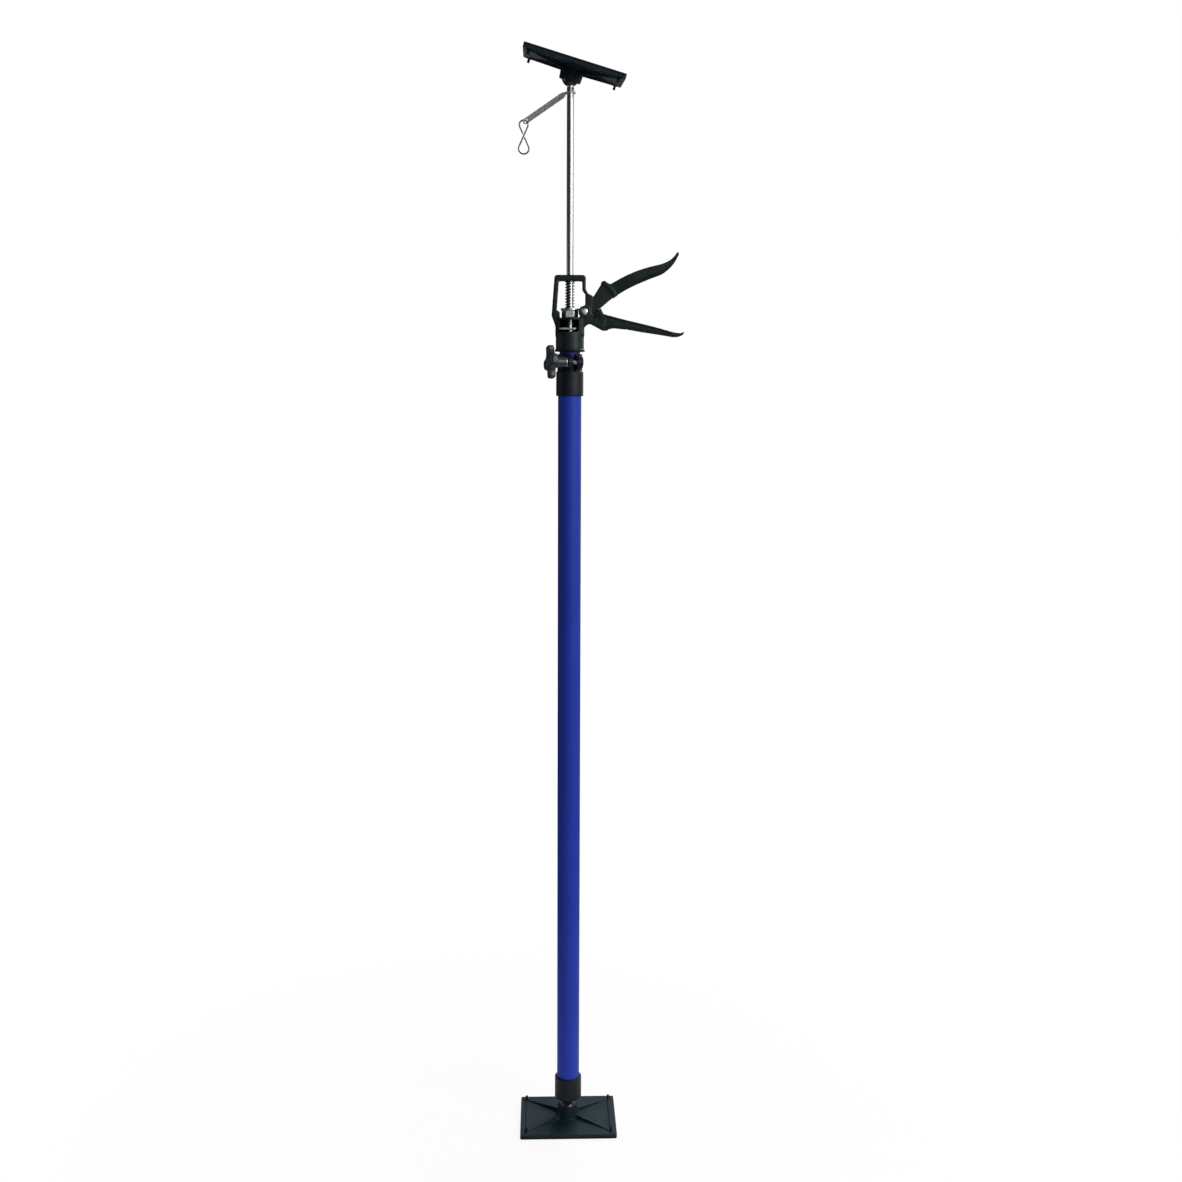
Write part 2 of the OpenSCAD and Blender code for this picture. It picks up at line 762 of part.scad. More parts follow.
module clamp_knob() {
    color("#141617")
        at_bolt()
            difference() {
                union() {
                    translate([0, 0, knob_face])
                        cylinder(r1 = knob_boss_d / 2 - sleeve_chamfer / 2, r2 = knob_boss_d / 2,
                            h = knob_boss_len + knob_t / 2);
                    translate([0, 0, knob_lobe_start])
                        intersection() {
                            linear_extrude(height = knob_t)
                                rotate(knob_spin)
                                    knob_profile();
                            rotate_extrude()
                                knob_section();
                        }
                }
                translate([0, 0, knob_face - eps])
                    cylinder(r = insert_d / 2 + press, h = bolt_end - knob_face + 2 * eps);
            }
}

module knob_profile() {
    difference() {
        circle(r = knob_d / 2);
        for (i = [0 : 3])
            rotate(45 + 90 * i)
                translate([knob_scallop_offset, 0])
                    circle(r = knob_scallop_r);
    }
}

// Half section of the knob's lobes, with rounded edges and a low dome outside
module knob_section() {
    polygon(concat(
        [[0, 0]],
        rounded_edge(knob_edge_r, knob_edge_r, -90, 0),
        rounded_edge(knob_t - 1.5 * knob_edge_r, knob_edge_r, 0, 70),
        [[knob_d / 5, knob_t], [0, knob_t]]
    ));
}

function rounded_edge(height, edge_r, first, last) =
    [for (i = [0 : edge_steps])
        let (turn = first + (last - first) * i / edge_steps)
        [knob_d / 2 - edge_r + edge_r * cos(turn), height + edge_r * sin(turn)]];

module tube_bush() {
    plug_r = inner_d / 2 - inner_wall - fit;
    color("#e3e0d6")
        difference() {
            union() {
                translate([0, 0, inner_z - bush_flange_t])
                    cylinder(r = outer_d / 2 - outer_wall - fit, h = bush_flange_t);
                translate([0, 0, inner_z - bush_flange_t])
                    cylinder(r = plug_r, h = bush_flange_t + bush_plug_len);
            }
            translate([0, 0, inner_z - bush_flange_t - eps])
                cylinder(r = bush_bore_d / 2, h = bush_flange_t + bush_plug_len + 2 * eps);
        }
}

module inner_tube() {
    color("#1f3fb8")
        pipe(inner_d / 2, inner_d / 2 - inner_wall, inner_z, inner_top);
}

// Outline of the jack's frame and cheeks
function frame_outline() =
    let (cheek = about_pivot(cheek_shares))
    rounded(concat(
        [
            [-jack_r, seat_depth, 0],
            [-jack_r, waist_z, corner_r],
            [-shoulder_x, shoulder_z, corner_r],
            [-frame_left, jack_h, corner_r],
            [frame_right, jack_h, corner_r],
            [frame_right, pivot_z + lug_r * 4, corner_r]
        ],
        cheek,
        [[jack_r, waist_z, 0], [jack_r, seat_depth, 0]]
    ));

// The open window of the frame
function frame_window() =
    let (
        left = frame_left - post_left_t,
        low_left = drive_washer_d / 2 + post_left_t / 5,
        sill = drive_z + block_h * 0.75,
        step_z = pivot_z + lug_r * 3.2,
        right = frame_right - post_right_t,
        cheek_x = pivot_x + lug_r / 5
    )
    rounded([
        [-left, bar_z, corner_r / 2],
        [right, bar_z, corner_r / 2],
        [right, step_z + post_right_t, corner_r / 2],
        [cheek_x, step_z, corner_r / 2],
        [cheek_x, drive_z, 0],
        [-low_left, drive_z, 0],
        [-low_left, sill, corner_r / 3],
        [-left - post_left_t / 2, sill + post_left_t / 2, corner_r / 3]
    ]);

module jack_body() {
    color("#191c1e")
        at_jack()
            difference() {
                union() {
                    difference() {
                        union() {
                            cylinder(r = jack_r, h = drive_z);
                            cylinder(r = jack_r + lip_t, h = lip_h);
                            side_plate(frame_outline(), frame_depth);
                        }
                        side_plate(frame_window(), frame_depth + 2 * eps);
                        translate([0, 0, chamber_z])
                            cylinder(r = chamber_d / 2, h = chamber_h);
                    }
                    difference() {
                        union() {
                            side_plate(rounded(about_pivot(handle_shares)), handle_t);
                            translate([pivot_x, 0, pivot_z])
                                rotate([90, 0, 0])
                                    cylinder(r = lug_r, h = frame_depth, center = true);
                        }
                        cylinder(r = chamber_d / 2 + eps, h = drive_z);
                    }
                    lock_fulcrum();
                }
                translate([0, 0, -eps])
                    cylinder(r = inner_d / 2 + press, h = seat_depth + eps);
                translate([0, 0, seat_depth - eps])
                    cylinder(r = guide_d / 2 + press, h = jack_floor_t + 2 * eps);
                translate([0, 0, shelf_z - eps])
                    cylinder(r = rod_d / 2 + gap, h = shelf_t + 2 * eps);
                translate([0, 0, bar_z - eps])
                    cylinder(r = rod_d / 2 + fit, h = bar_t + 2 * eps);
                translate([0, -jack_r / 2, 0])
                    side_plate(front_window(), jack_r + 2 * eps);
                side_plate(rounded(about_pivot(slot_shares)), slot_t);
                translate([pivot_x, 0, pivot_z])
                    rotate([90, 0, 0])
                        cylinder(r = pin_d / 2 + press, h = frame_depth + 2 * eps, center = true);
                for (side = [-1, 1])
                    translate([0, side * (handle_t / 2 - handle_recess / 2 + eps / 2), 0])
                        side_plate(rounded(about_pivot(recess_shares)), handle_recess + eps);
                translate([0, -(slot_t + handle_t) / 4 - eps / 2, 0])
                    side_plate(rounded(about_pivot(pocket_shares)), (handle_t - slot_t) / 2 + eps);
            }
}

// The window in the front of the lower chamber
function front_window() =
    rounded([
        [-window_left, chamber_z, window_r / 3], [window_right, chamber_z, window_r],
        [window_right, shelf_z, 0], [-window_left, shelf_z, 0]
    ]);

// Ledge at the back of the chamber, under the lock plate
module lock_fulcrum() {
    intersection() {
        translate([0, 0, chamber_z])
            cylinder(r = chamber_d / 2 + eps, h = lock_lift - gap);
        translate([-chamber_d / 4, lock_pivot_y, chamber_z])
            cube([chamber_d / 2, chamber_d, lock_lift]);
    }
}

module lever_pin() {
    half = frame_depth / 2;
    color("#d2d4d6")
        at_jack()
            translate([pivot_x, 0, pivot_z])
                rotate([90, 0, 0])
                    difference() {
                        union() {
                            cylinder(r = pin_d / 2, h = frame_depth, center = true);
                            translate([0, 0, half])
                                cylinder(r1 = pin_head_d / 2, r2 = pin_head_d / 2 - pin_head_t / 3, h = pin_head_t);
                            translate([0, 0, -half - pin_head_t / 2])
                                cylinder(r = pin_head_d * 0.42, h = pin_head_t / 2);
                        }
                        translate([0, 0, half + pin_head_t])
                            rotate([0, 0, -45])
                                cube([pin_head_d + eps, pin_head_t * 0.6, pin_head_t], center = true);
                    }
}

module lever() {
    corners = about_pivot(lever_shares);
    root_r = grip_start_share * grip_len;
    color("#1e2427")
        at_jack()
            difference() {
                union() {
                    intersection() {
                        side_plate(rounded(inset(corners, gap)), lever_t);
                        at_pivot(grip_t)
                            circle(r = root_r + lever_t / 2);
                    }
                    difference() {
                        side_plate(rounded(corners), grip_t);
                        at_pivot(grip_t + 2 * eps)
                            circle(r = root_r);
                    }
                    at_pivot(lever_t) {
                        circle(r = lever_hub_r);
                        polygon(rounded(nose_corners()));
                    }
                }
                at_pivot(lever_t + 2 * eps)
                    circle(r = pin_d / 2 + fit);
            }
}

// The nose under the drive block, about the pivot
function nose_corners() =
    let (along = unit([nose_reach - nose_r, nose_drop - lever_hub_r]), across = [-along.y, along.x] * nose_r)
    [for (c = [
            [-nose_reach, -nose_drop] - along * nose_r + across,
            [-nose_reach, -nose_drop] - along * nose_r - across,
            [0, nose_r - lever_hub_r] - across,
            [0, nose_r - lever_hub_r] + across
        ])
        [c.x, c.y, nose_r * 0.9]];

// A plate of the given thickness about the pivot, across the XZ plane
module at_pivot(thickness) {
    translate([pivot_x, 0, pivot_z])
        rotate([90, 0, 0])
            linear_extrude(height = thickness, center = true)
                children();
}

module drive_block() {
    color("#c4c7ca")
        at_jack()
            translate([0, 0, drive_z])
                hexagon(block_af, block_h, rod_d / 2 + fit);
}

module drive_washer() {
    color("#d6d8da")
        at_jack()
            pipe(drive_washer_d / 2, rod_d / 2 + fit, drive_z + block_h, spring_z);
}

module return_spring() {
    color("#dcdee0")
        at_jack()
            coil((spring_d - spring_wire) / 2, spring_wire / 2, spring_z, bar_z, spring_turns);
}

module rod_guide() {
    color("#d9d4c6")
        at_jack()
            difference() {
                union() {
                    translate([0, 0, seat_depth - guide_flange_t])
                        cylinder(r = inner_d / 2, h = guide_flange_t);
                    translate([0, 0, seat_depth - guide_flange_t])
                        cylinder(r = guide_d / 2, h = guide_flange_t + jack_floor_t);
                }
                translate([0, 0, seat_depth - guide_flange_t - eps])
                    cylinder(r = rod_d / 2 + fit, h = guide_flange_t + jack_floor_t + 2 * eps);
            }
}

module lock_plate() {
    color("#d0d2d4")
        at_jack()
            translate([0, lock_pivot_y, chamber_z + lock_lift])
                rotate([lock_tilt, 0, 0])
                    translate([0, -lock_pivot_y, 0])
                        linear_extrude(height = lock_t)
                            difference() {
                                union() {
                                    circle(r = lock_r);
                                    polygon(rounded([
                                        [-tab_left, 0, 0], [-tab_left, -jack_r - tab_out, window_r / 2],
                                        [tab_right, -jack_r - tab_out, window_r / 2], [tab_right, 0, 0]
                                    ]));
                                }
                                circle(r = rod_d / 2 + gap + fit);
                            }
}

module lock_spring() {
    plate_z = chamber_z + lock_lift + lock_t - (lock_pivot_y - spring_d / 2) * sin(lock_tilt);
    color("#c9ccce")
        at_jack()
            coil((spring_d - lock_wire) / 2, lock_wire / 2, plate_z + play, shelf_z, lock_turns);
}

module rod_stop() {
    color("#7d8083")
        pipe(rod_stop_d / 2, rod_d / 2 + fit, rod_z + rod_tail, rod_z + rod_tail + rod_stop_h);
}

module rod() {
    color("#b9bcc0")
        difference() {
            translate([0, 0, rod_z])
                cylinder(r = rod_d / 2, h = rod_len);
            translate([0, 0, rod_top - head_shank_len - play])
                cylinder(r = head_shank_d / 2 + press, h = head_shank_len + play + eps);
        }
}

module head_stud() {
    color("#a7aaad")
        difference() {
            union() {
                translate([0, 0, strap_top])
                    cylinder(r = rod_d / 2, h = head_neck);
                translate([0, 0, rod_top - head_shank_len])
                    cylinder(r = head_shank_d / 2, h = head_shank_len + strap_top - rod_top + head_neck / 2);
            }
            translate([0, 0, head_ball_z])
                sphere(r = ball_r + fit);
        }
}

// Places its children at the S-hook's hole, in the sloping part of the strap
module on_slope() {
    translate([-strap_reach, 0, strap_hole_z])
        rotate([0, -strap_slope, 0])
            children();
}

// Side view of the bent strap, about the rod's axis and the flat part's middle
function strap_profile() =
    let (
        half = strap_t / 2,
        mitre = half * tan(strap_slope / 2),
        across = [-sin(strap_slope), cos(strap_slope)] * half,
        end = [-strap_reach, strap_hole_z - strap_z]
            - [cos(strap_slope), sin(strap_slope)] * (strap_w / 2 + gap)
    )
    [
        [0, -half], [0, half], [-strap_bend_x - mitre, half],
        end + across, end - across, [-strap_bend_x + mitre, -half]
    ];

module hook_strap() {
    color("#c6c9cc")
        difference() {
            union() {
                translate([0, 0, strap_z])
                    side_plate(strap_profile(), strap_w);
                translate([0, 0, strap_z - strap_t / 2])
                    cylinder(r = strap_w * 0.8, h = strap_t);
            }
            translate([0, 0, strap_z - strap_t])
                cylinder(r = head_shank_d / 2 + fit, h = 2 * strap_t);
            on_slope()
                cylinder(r = strap_hole_d / 2, h = 2 * strap_t, center = true);
            on_slope()
                difference() {
                    translate([-strap_w, -strap_w, -strap_t])
                        cube([strap_w, 2 * strap_w, 2 * strap_t]);
                    cylinder(r = strap_w / 2 + gap / 2, h = 4 * strap_t, center = true);
                }
        }
}

// Centre line of the S-hook in its own plane: two loops joined by a diagonal, both ends turned back to it
function s_path() =
    let (
        lean = asin((s_upper_r + s_lower_r) / s_pitch),
        down = [sin(lean), -cos(lean)],
        end_gap = 1.2 * s_wire / sin(2 * lean),
        upper_end = s_upper_r * [-cos(lean), -sin(lean)] + down * (s_upper_r / tan(lean) - end_gap),
        lower_end = [0, -s_pitch] + s_lower_r * [cos(lean), sin(lean)]
            - down * (s_lower_r / tan(lean) - end_gap)
    )
    concat(
        [upper_end],
        [for (i = [0 : loop_rings])
            let (turn = 180 + lean - (180 + 2 * lean) * i / loop_rings)
            s_upper_r * [cos(turn), sin(turn)]],
        [for (i = [0 : loop_rings])
            let (turn = 180 - lean + (180 + 2 * lean) * i / loop_rings)
            [0, -s_pitch] + s_lower_r * [cos(turn), sin(turn)]],
        [lower_end]
    );

// Directions across a path in its plane
function path_normals(path) =
    [for (i = [0 : len(path) - 1])
        let (run = unit(path[min(i + 1, len(path) - 1)] - path[max(i - 1, 0)]))
        [run.y, -run.x]];

module s_hook() {
    path = s_path();
    color("#cdd0d3")
        translate([-strap_reach, 0, strap_hole_z])
            rotate([90, 0, 0])
                rotate(hang_lean)
                    translate(-s_upper_r * [cos(hang_turn), sin(hang_turn), 0])
                        wire(
                            [for (p = path) [p.x, p.y, 0]],
                            [for (n = path_normals(path)) [n.x, n.y, 0]],
                            [for (p = path) [0, 0, -1]],
                            s_wire / 2, loop_sides
                        );
}

module head_ball() {
    color("#2a2d2f")
        translate([0, 0, head_ball_z])
            sphere(r = ball_r);
}

module head_plate() {
    color("#1d2527")
        at_head()
            cup_plate();
}

module head_pad() {
    color("#1b1d1e")
        at_head()
            plugged_pad();
}

echo(return_spring_gap = coil_gap((spring_d - spring_wire) / 2, spring_wire / 2, spring_z, bar_z, spring_turns));
echo(lock_spring_gap = coil_gap((spring_d - lock_wire) / 2, lock_wire / 2,
    chamber_z + lock_lift + lock_t, shelf_z, lock_turns));

foot_pad();
foot_plate();
foot_ball();
foot_stud();
stud_nut();
foot_sleeve();
outer_tube();
clamp_collar();
clamp_bolt();
clamp_washer();
knob_insert();
clamp_knob();
tube_bush();
inner_tube();
jack_body();
lever_pin();
lever();
drive_block();
drive_washer();
return_spring();
rod_guide();
lock_plate();
lock_spring();
rod_stop();
rod();
head_stud();
hook_strap();
s_hook();
head_ball();
head_plate();
head_pad();
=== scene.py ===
import json
import math

import bpy
import numpy as np
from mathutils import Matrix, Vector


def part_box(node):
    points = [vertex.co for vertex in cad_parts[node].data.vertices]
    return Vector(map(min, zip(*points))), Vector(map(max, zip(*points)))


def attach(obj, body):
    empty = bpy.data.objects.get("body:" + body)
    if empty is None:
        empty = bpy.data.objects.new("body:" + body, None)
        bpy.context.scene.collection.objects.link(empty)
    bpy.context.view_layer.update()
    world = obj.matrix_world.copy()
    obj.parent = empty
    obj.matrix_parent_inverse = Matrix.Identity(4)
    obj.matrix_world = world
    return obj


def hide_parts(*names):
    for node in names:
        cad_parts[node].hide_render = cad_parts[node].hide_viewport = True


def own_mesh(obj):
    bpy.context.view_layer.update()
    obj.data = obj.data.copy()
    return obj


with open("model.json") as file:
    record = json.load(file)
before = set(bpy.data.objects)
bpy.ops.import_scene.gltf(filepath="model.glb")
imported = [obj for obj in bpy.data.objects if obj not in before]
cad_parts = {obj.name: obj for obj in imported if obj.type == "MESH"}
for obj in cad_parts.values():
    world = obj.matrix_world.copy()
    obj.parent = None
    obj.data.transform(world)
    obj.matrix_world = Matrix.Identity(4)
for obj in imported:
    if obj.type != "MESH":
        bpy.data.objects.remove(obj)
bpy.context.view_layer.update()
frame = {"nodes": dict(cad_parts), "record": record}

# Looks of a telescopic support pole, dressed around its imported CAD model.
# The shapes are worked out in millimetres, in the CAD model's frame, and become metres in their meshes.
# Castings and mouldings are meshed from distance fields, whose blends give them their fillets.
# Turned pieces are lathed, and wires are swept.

import openvdb as vdb
from mathutils import Matrix, Vector

MM = 0.001
SIDES = (-1, 1)
PLAY = 0.05
record = frame["record"]
body_of = {node: body for body, nodes in record["behaviour"]["bodies"].items() for node in nodes}
slot_of = {part["node"]: part["material_slot"] for part in record["subparts"]}


def low(node):
    return Vector(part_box(node)[0]) / MM


def high(node):
    return Vector(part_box(node)[1]) / MM


def middle(node):
    return (low(node) + high(node)) / 2


# Camera, from the photograph's vanishing lines and the pole's known sizes

PHOTO = 1182
FOCAL = 1372
HORIZON = 410.4
CAMERA_AT = (0.0285, -1.78, 0.9689)
CAMERA_ROLL = 0.26


def make_camera():
    data = bpy.data.cameras.new("camera")
    data.sensor_width = 36
    data.lens = data.sensor_width * FOCAL / PHOTO
    camera = bpy.data.objects.new("camera", data)
    link(camera)
    pitch = math.atan((PHOTO / 2 - HORIZON) / FOCAL)
    camera.matrix_world = (
        Matrix.Translation(CAMERA_AT)
        @ Matrix.Rotation(math.radians(90) - pitch, 4, "X")
        @ Matrix.Rotation(math.radians(CAMERA_ROLL), 4, "Z")
    )
    bpy.context.scene.camera = camera


def link(made):
    bpy.context.scene.collection.objects.link(made)


# Materials

def new_material(name):
    material = bpy.data.materials.new(name)
    material.use_nodes = True
    tree = material.node_tree
    tree.nodes.clear()
    return material, tree


def node(tree, kind, **settings):
    made = tree.nodes.new("ShaderNode" + kind)
    for key, value in settings.items():
        if key in made.inputs:
            made.inputs[key].default_value = value
        else:
            setattr(made, key, value)
    return made


def object_point(tree, stretch=(1, 1, 1)):
    """The surface point in the CAD frame, scaled along each axis."""
    place = node(tree, "TexCoord")
    scale = node(tree, "Mapping")
    scale.inputs["Scale"].default_value = stretch
    tree.links.new(place.outputs["Object"], scale.inputs["Vector"])
    return scale.outputs["Vector"]


def noise(tree, point, scale, detail=3.0, roughness=0.55):
    made = node(tree, "TexNoise", Scale=scale, Detail=detail, Roughness=roughness)
    tree.links.new(point, made.inputs["Vector"])
    return made.outputs["Fac"]


def ramp(tree, value, start, end, low_value, high_value):
    """value from start to end becomes low_value to high_value."""
    made = node(tree, "MapRange")
    made.inputs["From Min"].default_value = start
    made.inputs["From Max"].default_value = end
    made.inputs["To Min"].default_value = low_value
    made.inputs["To Max"].default_value = high_value
    tree.links.new(value, made.inputs["Value"])
    return made.outputs["Result"]


def blend_colour(tree, share, first, second):
    made = node(tree, "Mix", data_type="RGBA")
    tree.links.new(share, made.inputs["Factor"])
    for socket, colour in (("A", first), ("B", second)):
        target = [s for s in made.inputs if s.name == socket and s.type == "RGBA"][0]
        if isinstance(colour, bpy.types.NodeSocket):
            tree.links.new(colour, target)
        else:
            target.default_value = (*colour, 1)
    return [s for s in made.outputs if s.type == "RGBA"][0]


def bump(tree, height, distance, strength=1.0, under=None):
    made = node(tree, "Bump", Strength=strength, Distance=distance)
    tree.links.new(height, made.inputs["Height"])
    if under is not None:
        tree.links.new(under, made.inputs["Normal"])
    return made.outputs["Normal"]


def surface(name, colours, rough, grain, patches=40, stretch=(1, 1, 1), second_grain=None,
            metallic=0.0, coat=0.0, coat_roughness=0.1, specular=0.5, anisotropic=0.0):
    """A procedural finish. colours are the two ends of its slow variation, rough the range of its roughness,
    and grain (scale, depth) its fine relief, with an optional second one."""
    material, tree = new_material(name)
    shader = node(tree, "BsdfPrincipled", Metallic=metallic)
    shader.inputs["Coat Weight"].default_value = coat
    shader.inputs["Coat Roughness"].default_value = coat_roughness
    shader.inputs["Specular IOR Level"].default_value = specular
    shader.inputs["Anisotropic"].default_value = anisotropic
    out = node(tree, "OutputMaterial")
    tree.links.new(shader.outputs["BSDF"], out.inputs["Surface"])
    point = object_point(tree)
    along = object_point(tree, stretch)
    slow = ramp(tree, noise(tree, point, patches, 4), 0.3, 0.7, 0, 1)
    colour = blend_colour(tree, slow, *colours)
    tree.links.new(colour, shader.inputs["Base Color"])
    streaks = ramp(tree, noise(tree, along, patches * 6, 3), 0.3, 0.7, *rough)
    tree.links.new(streaks, shader.inputs["Roughness"])
    normal = bump(tree, noise(tree, along, grain[0], 4), grain[1])
    if second_grain is not None:
        normal = bump(tree, noise(tree, point, second_grain[0], 3), second_grain[1], under=normal)
    tree.links.new(normal, shader.inputs["Normal"])
    return material


PAINT = dict(
    rough=(0.48, 0.56), grain=(700, 0.00002), second_grain=(90, 0.00010), patches=9, stretch=(1, 1, 0.12),
    specular=0.22)
FINISHES = {
    "pad_rubber": dict(
        colours=((0.006, 0.007, 0.008), (0.011, 0.012, 0.013)), rough=(0.66, 0.82),
        grain=(2600, 0.00008), second_grain=(420, 0.00006), patches=55, specular=0.25),
    "plate_nylon": dict(
        colours=((0.005, 0.018, 0.025), (0.009, 0.028, 0.038)), rough=(0.48, 0.62),
        grain=(1900, 0.00004), second_grain=(260, 0.00008), patches=35, specular=0.18),
    "moulded_black": dict(
        colours=((0.004, 0.009, 0.012), (0.008, 0.015, 0.019)), rough=(0.40, 0.54),
        grain=(1700, 0.00004), second_grain=(300, 0.00006), patches=45, specular=0.24),
    # A lighter, glossier copy of moulded_black for the knob: painted light, standing in for a lamp on its
    # front left.
    "lit_knob_black": dict(
        colours=((0.032, 0.040, 0.045), (0.045, 0.054, 0.060)), rough=(0.32, 0.42),
        grain=(1700, 0.00004), second_grain=(300, 0.00006), patches=45, specular=0.5),
    "cast_black": dict(
        colours=((0.007, 0.014, 0.015), (0.012, 0.023, 0.024)), rough=(0.38, 0.50),
        grain=(1500, 0.00005), second_grain=(330, 0.00009), patches=40, specular=0.28),
    "blue_paint": dict(colours=((0.015, 0.046, 0.440), (0.022, 0.058, 0.500)), **PAINT),
    # A copy of blue_paint at under half its brightness: painted shade for the inner tube, which sits in the
    # jack's shadow.
    "shaded_blue_paint": dict(colours=((0.006, 0.018, 0.170), (0.009, 0.023, 0.200)), **PAINT),
    "zinc_steel": dict(
        colours=((0.62, 0.65, 0.68), (0.76, 0.78, 0.80)), rough=(0.26, 0.40), metallic=1.0,
        grain=(1400, 0.000006), patches=110),
    "rod_steel": dict(
        colours=((0.54, 0.55, 0.56), (0.62, 0.62, 0.63)), rough=(0.20, 0.26), metallic=1.0,
        grain=(900, 0.000001), stretch=(1, 1, 0.03), patches=40),
    "ball_steel": dict(
        colours=((0.016, 0.020, 0.023), (0.026, 0.031, 0.035)), rough=(0.16, 0.26), metallic=0.0,
        grain=(1800, 0.00001), patches=70),
    # Steel darkened far below its own brightness: painted shade, standing in for the dark reflections that
    # outline each coil.
    "spring_steel": dict(
        colours=((0.15, 0.17, 0.19), (0.23, 0.25, 0.27)), rough=(0.16, 0.24), metallic=1.0,
        grain=(1600, 0.000002), patches=120),
    # A lighter copy of zinc_steel for the bolt: painted light on the shank, which lies in the ear's shadow.
    "lit_bolt_zinc": dict(
        colours=((0.80, 0.82, 0.84), (0.88, 0.89, 0.90)), rough=(0.46, 0.54), metallic=1.0,
        grain=(1400, 0.000004), patches=90),
    "insert_brass": dict(
        colours=((0.46, 0.33, 0.13), (0.58, 0.43, 0.19)), rough=(0.24, 0.38), metallic=1.0,
        grain=(1800, 0.00001), patches=90),
    # A darker copy of zinc_steel for the S-hook: painted shade, giving the wire dark outlines.
    "shaded_hook_wire": dict(
        colours=((0.15, 0.17, 0.19), (0.24, 0.26, 0.28)), rough=(0.24, 0.36), metallic=1.0,
        grain=(1400, 0.000004), patches=90),
    # A lighter copy of zinc_steel for the strap: painted light, standing in for the light its face would
    # catch.
    "lit_strap_zinc": dict(
        colours=((0.74, 0.78, 0.80), (0.82, 0.85, 0.87)), rough=(0.44, 0.52), metallic=1.0,
        grain=(1400, 0.000002), patches=50),
    "guide_nylon": dict(
        colours=((0.50, 0.48, 0.43), (0.58, 0.56, 0.51)), rough=(0.38, 0.50),
        grain=(1500, 0.00002), patches=60),
}
MATERIALS = {name: surface(name, **finish) for name, finish in FINISHES.items()}


# Meshes

CORNER_STEP, NEARLY_STRAIGHT = 12, 89.5
CORNER_SHARE = 0.49
LATHE_SEGMENTS = 96


def place_piece(piece, cad_node, finish=None):
    """Gives a new piece the finish and the body of a CAD node, and lets it stand for that node."""
    piece.data.materials.clear()
    piece.data.materials.append(MATERIALS[finish or slot_of[cad_node]])
    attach(piece, body_of[cad_node])
    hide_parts(cad_node)
    return piece


def new_piece(name, points, faces, matrix=None, sharp=None):
    """A mesh object from points in millimetres, optionally moved by a matrix in millimetres."""
    points = np.asarray(points, float)
    if matrix is not None:
        turn = np.array(matrix, float)
        points = points @ turn[:3, :3].T + turn[:3, 3]
    mesh = bpy.data.meshes.new(name)
    mesh.from_pydata((points * MM).tolist(), [], [list(f) for f in faces])
    mesh.validate()
    mesh.shade_smooth()
    if sharp is not None:
        mesh.set_sharp_from_angle(angle=math.radians(sharp))
    piece = bpy.data.objects.new(name, mesh)
    link(piece)
    return piece


def even_normals(piece):
    """Keeps flat faces flat beside their rounded edges."""
    weighted = piece.modifiers.new("normals", "WEIGHTED_NORMAL")
    weighted.mode = "FACE_AREA"
    weighted.weight = 50
    weighted.keep_sharp = True


def corner_arc(a, p, b, r, turn=CORNER_STEP):
    """The arc that rounds the corner at p, between its neighbours a and b, in steps of turn degrees."""
    a, p, b = (np.array(q, float) for q in (a, p, b))
    u = (a - p) / np.linalg.norm(a - p)
    v = (b - p) / np.linalg.norm(b - p)
    half = math.acos(max(-1, min(1, float(u @ v)))) / 2
    if half > math.radians(NEARLY_STRAIGHT):
        return [tuple(p)]
    room = min(np.linalg.norm(a - p), np.linalg.norm(b - p)) * CORNER_SHARE
    r = min(r, room * math.tan(half))
    centre = p + (u + v) / np.linalg.norm(u + v) * r / math.sin(half)
    start = p + u * r / math.tan(half) - centre
    end = p + v * r / math.tan(half) - centre
    first = math.atan2(start[1], start[0])
    span = (math.atan2(end[1], end[0]) - first + 3 * math.pi) % (2 * math.pi) - math.pi
    steps = max(2, round(abs(math.degrees(span)) / turn))
    angles = [first + span * i / steps for i in range(steps + 1)]
    return [tuple(centre + r * np.array([math.cos(t), math.sin(t)])) for t in angles]


def rounded(corners, turn=CORNER_STEP):
    """An outline whose corners, each (x, y, radius), are rounded."""
    points = []
    for i, p in enumerate(corners):
        a, b = corners[i - 1], corners[(i + 1) % len(corners)]
        points += corner_arc(a[:2], p[:2], b[:2], p[2], turn) if p[2] > 0 else [tuple(p[:2])]
    return points


def lathe(name, profile, matrix=None, segments=LATHE_SEGMENTS):
    """A solid of revolution about Z. profile is an anticlockwise outline of (radius, height)."""
    points, rings, faces = [], [], []
    for r, z in profile:
        if r < 1e-6:
            rings.append([len(points)] * segments)
            points.append((0, 0, z))
        else:
            rings.append(list(range(len(points), len(points) + segments)))
            points += [(r * math.cos(t), r * math.sin(t), z)
                       for t in (2 * math.pi * i / segments for i in range(segments))]
    for ring, after in zip(rings, rings[1:] + rings[:1]):
        for i in range(segments):
            j = (i + 1) % segments
            corners = list(dict.fromkeys([ring[i], ring[j], after[j], after[i]]))
            if len(corners) > 2:
                faces.append(corners)
    piece = new_piece(name, points, faces, matrix, sharp=35)
    even_normals(piece)
    return piece


def tube_faces(rings, sides):
    """The faces of a tube with closed ends, whose points come ring by ring."""
    faces = []
    for i in range(rings - 1):
        for k in range(sides):
            j = (k + 1) % sides
            faces.append([i * sides + k, i * sides + j, (i + 1) * sides + j, (i + 1) * sides + k])
    faces.append(list(range(sides))[::-1])
    faces.append(list(range((rings - 1) * sides, rings * sides)))
    return faces


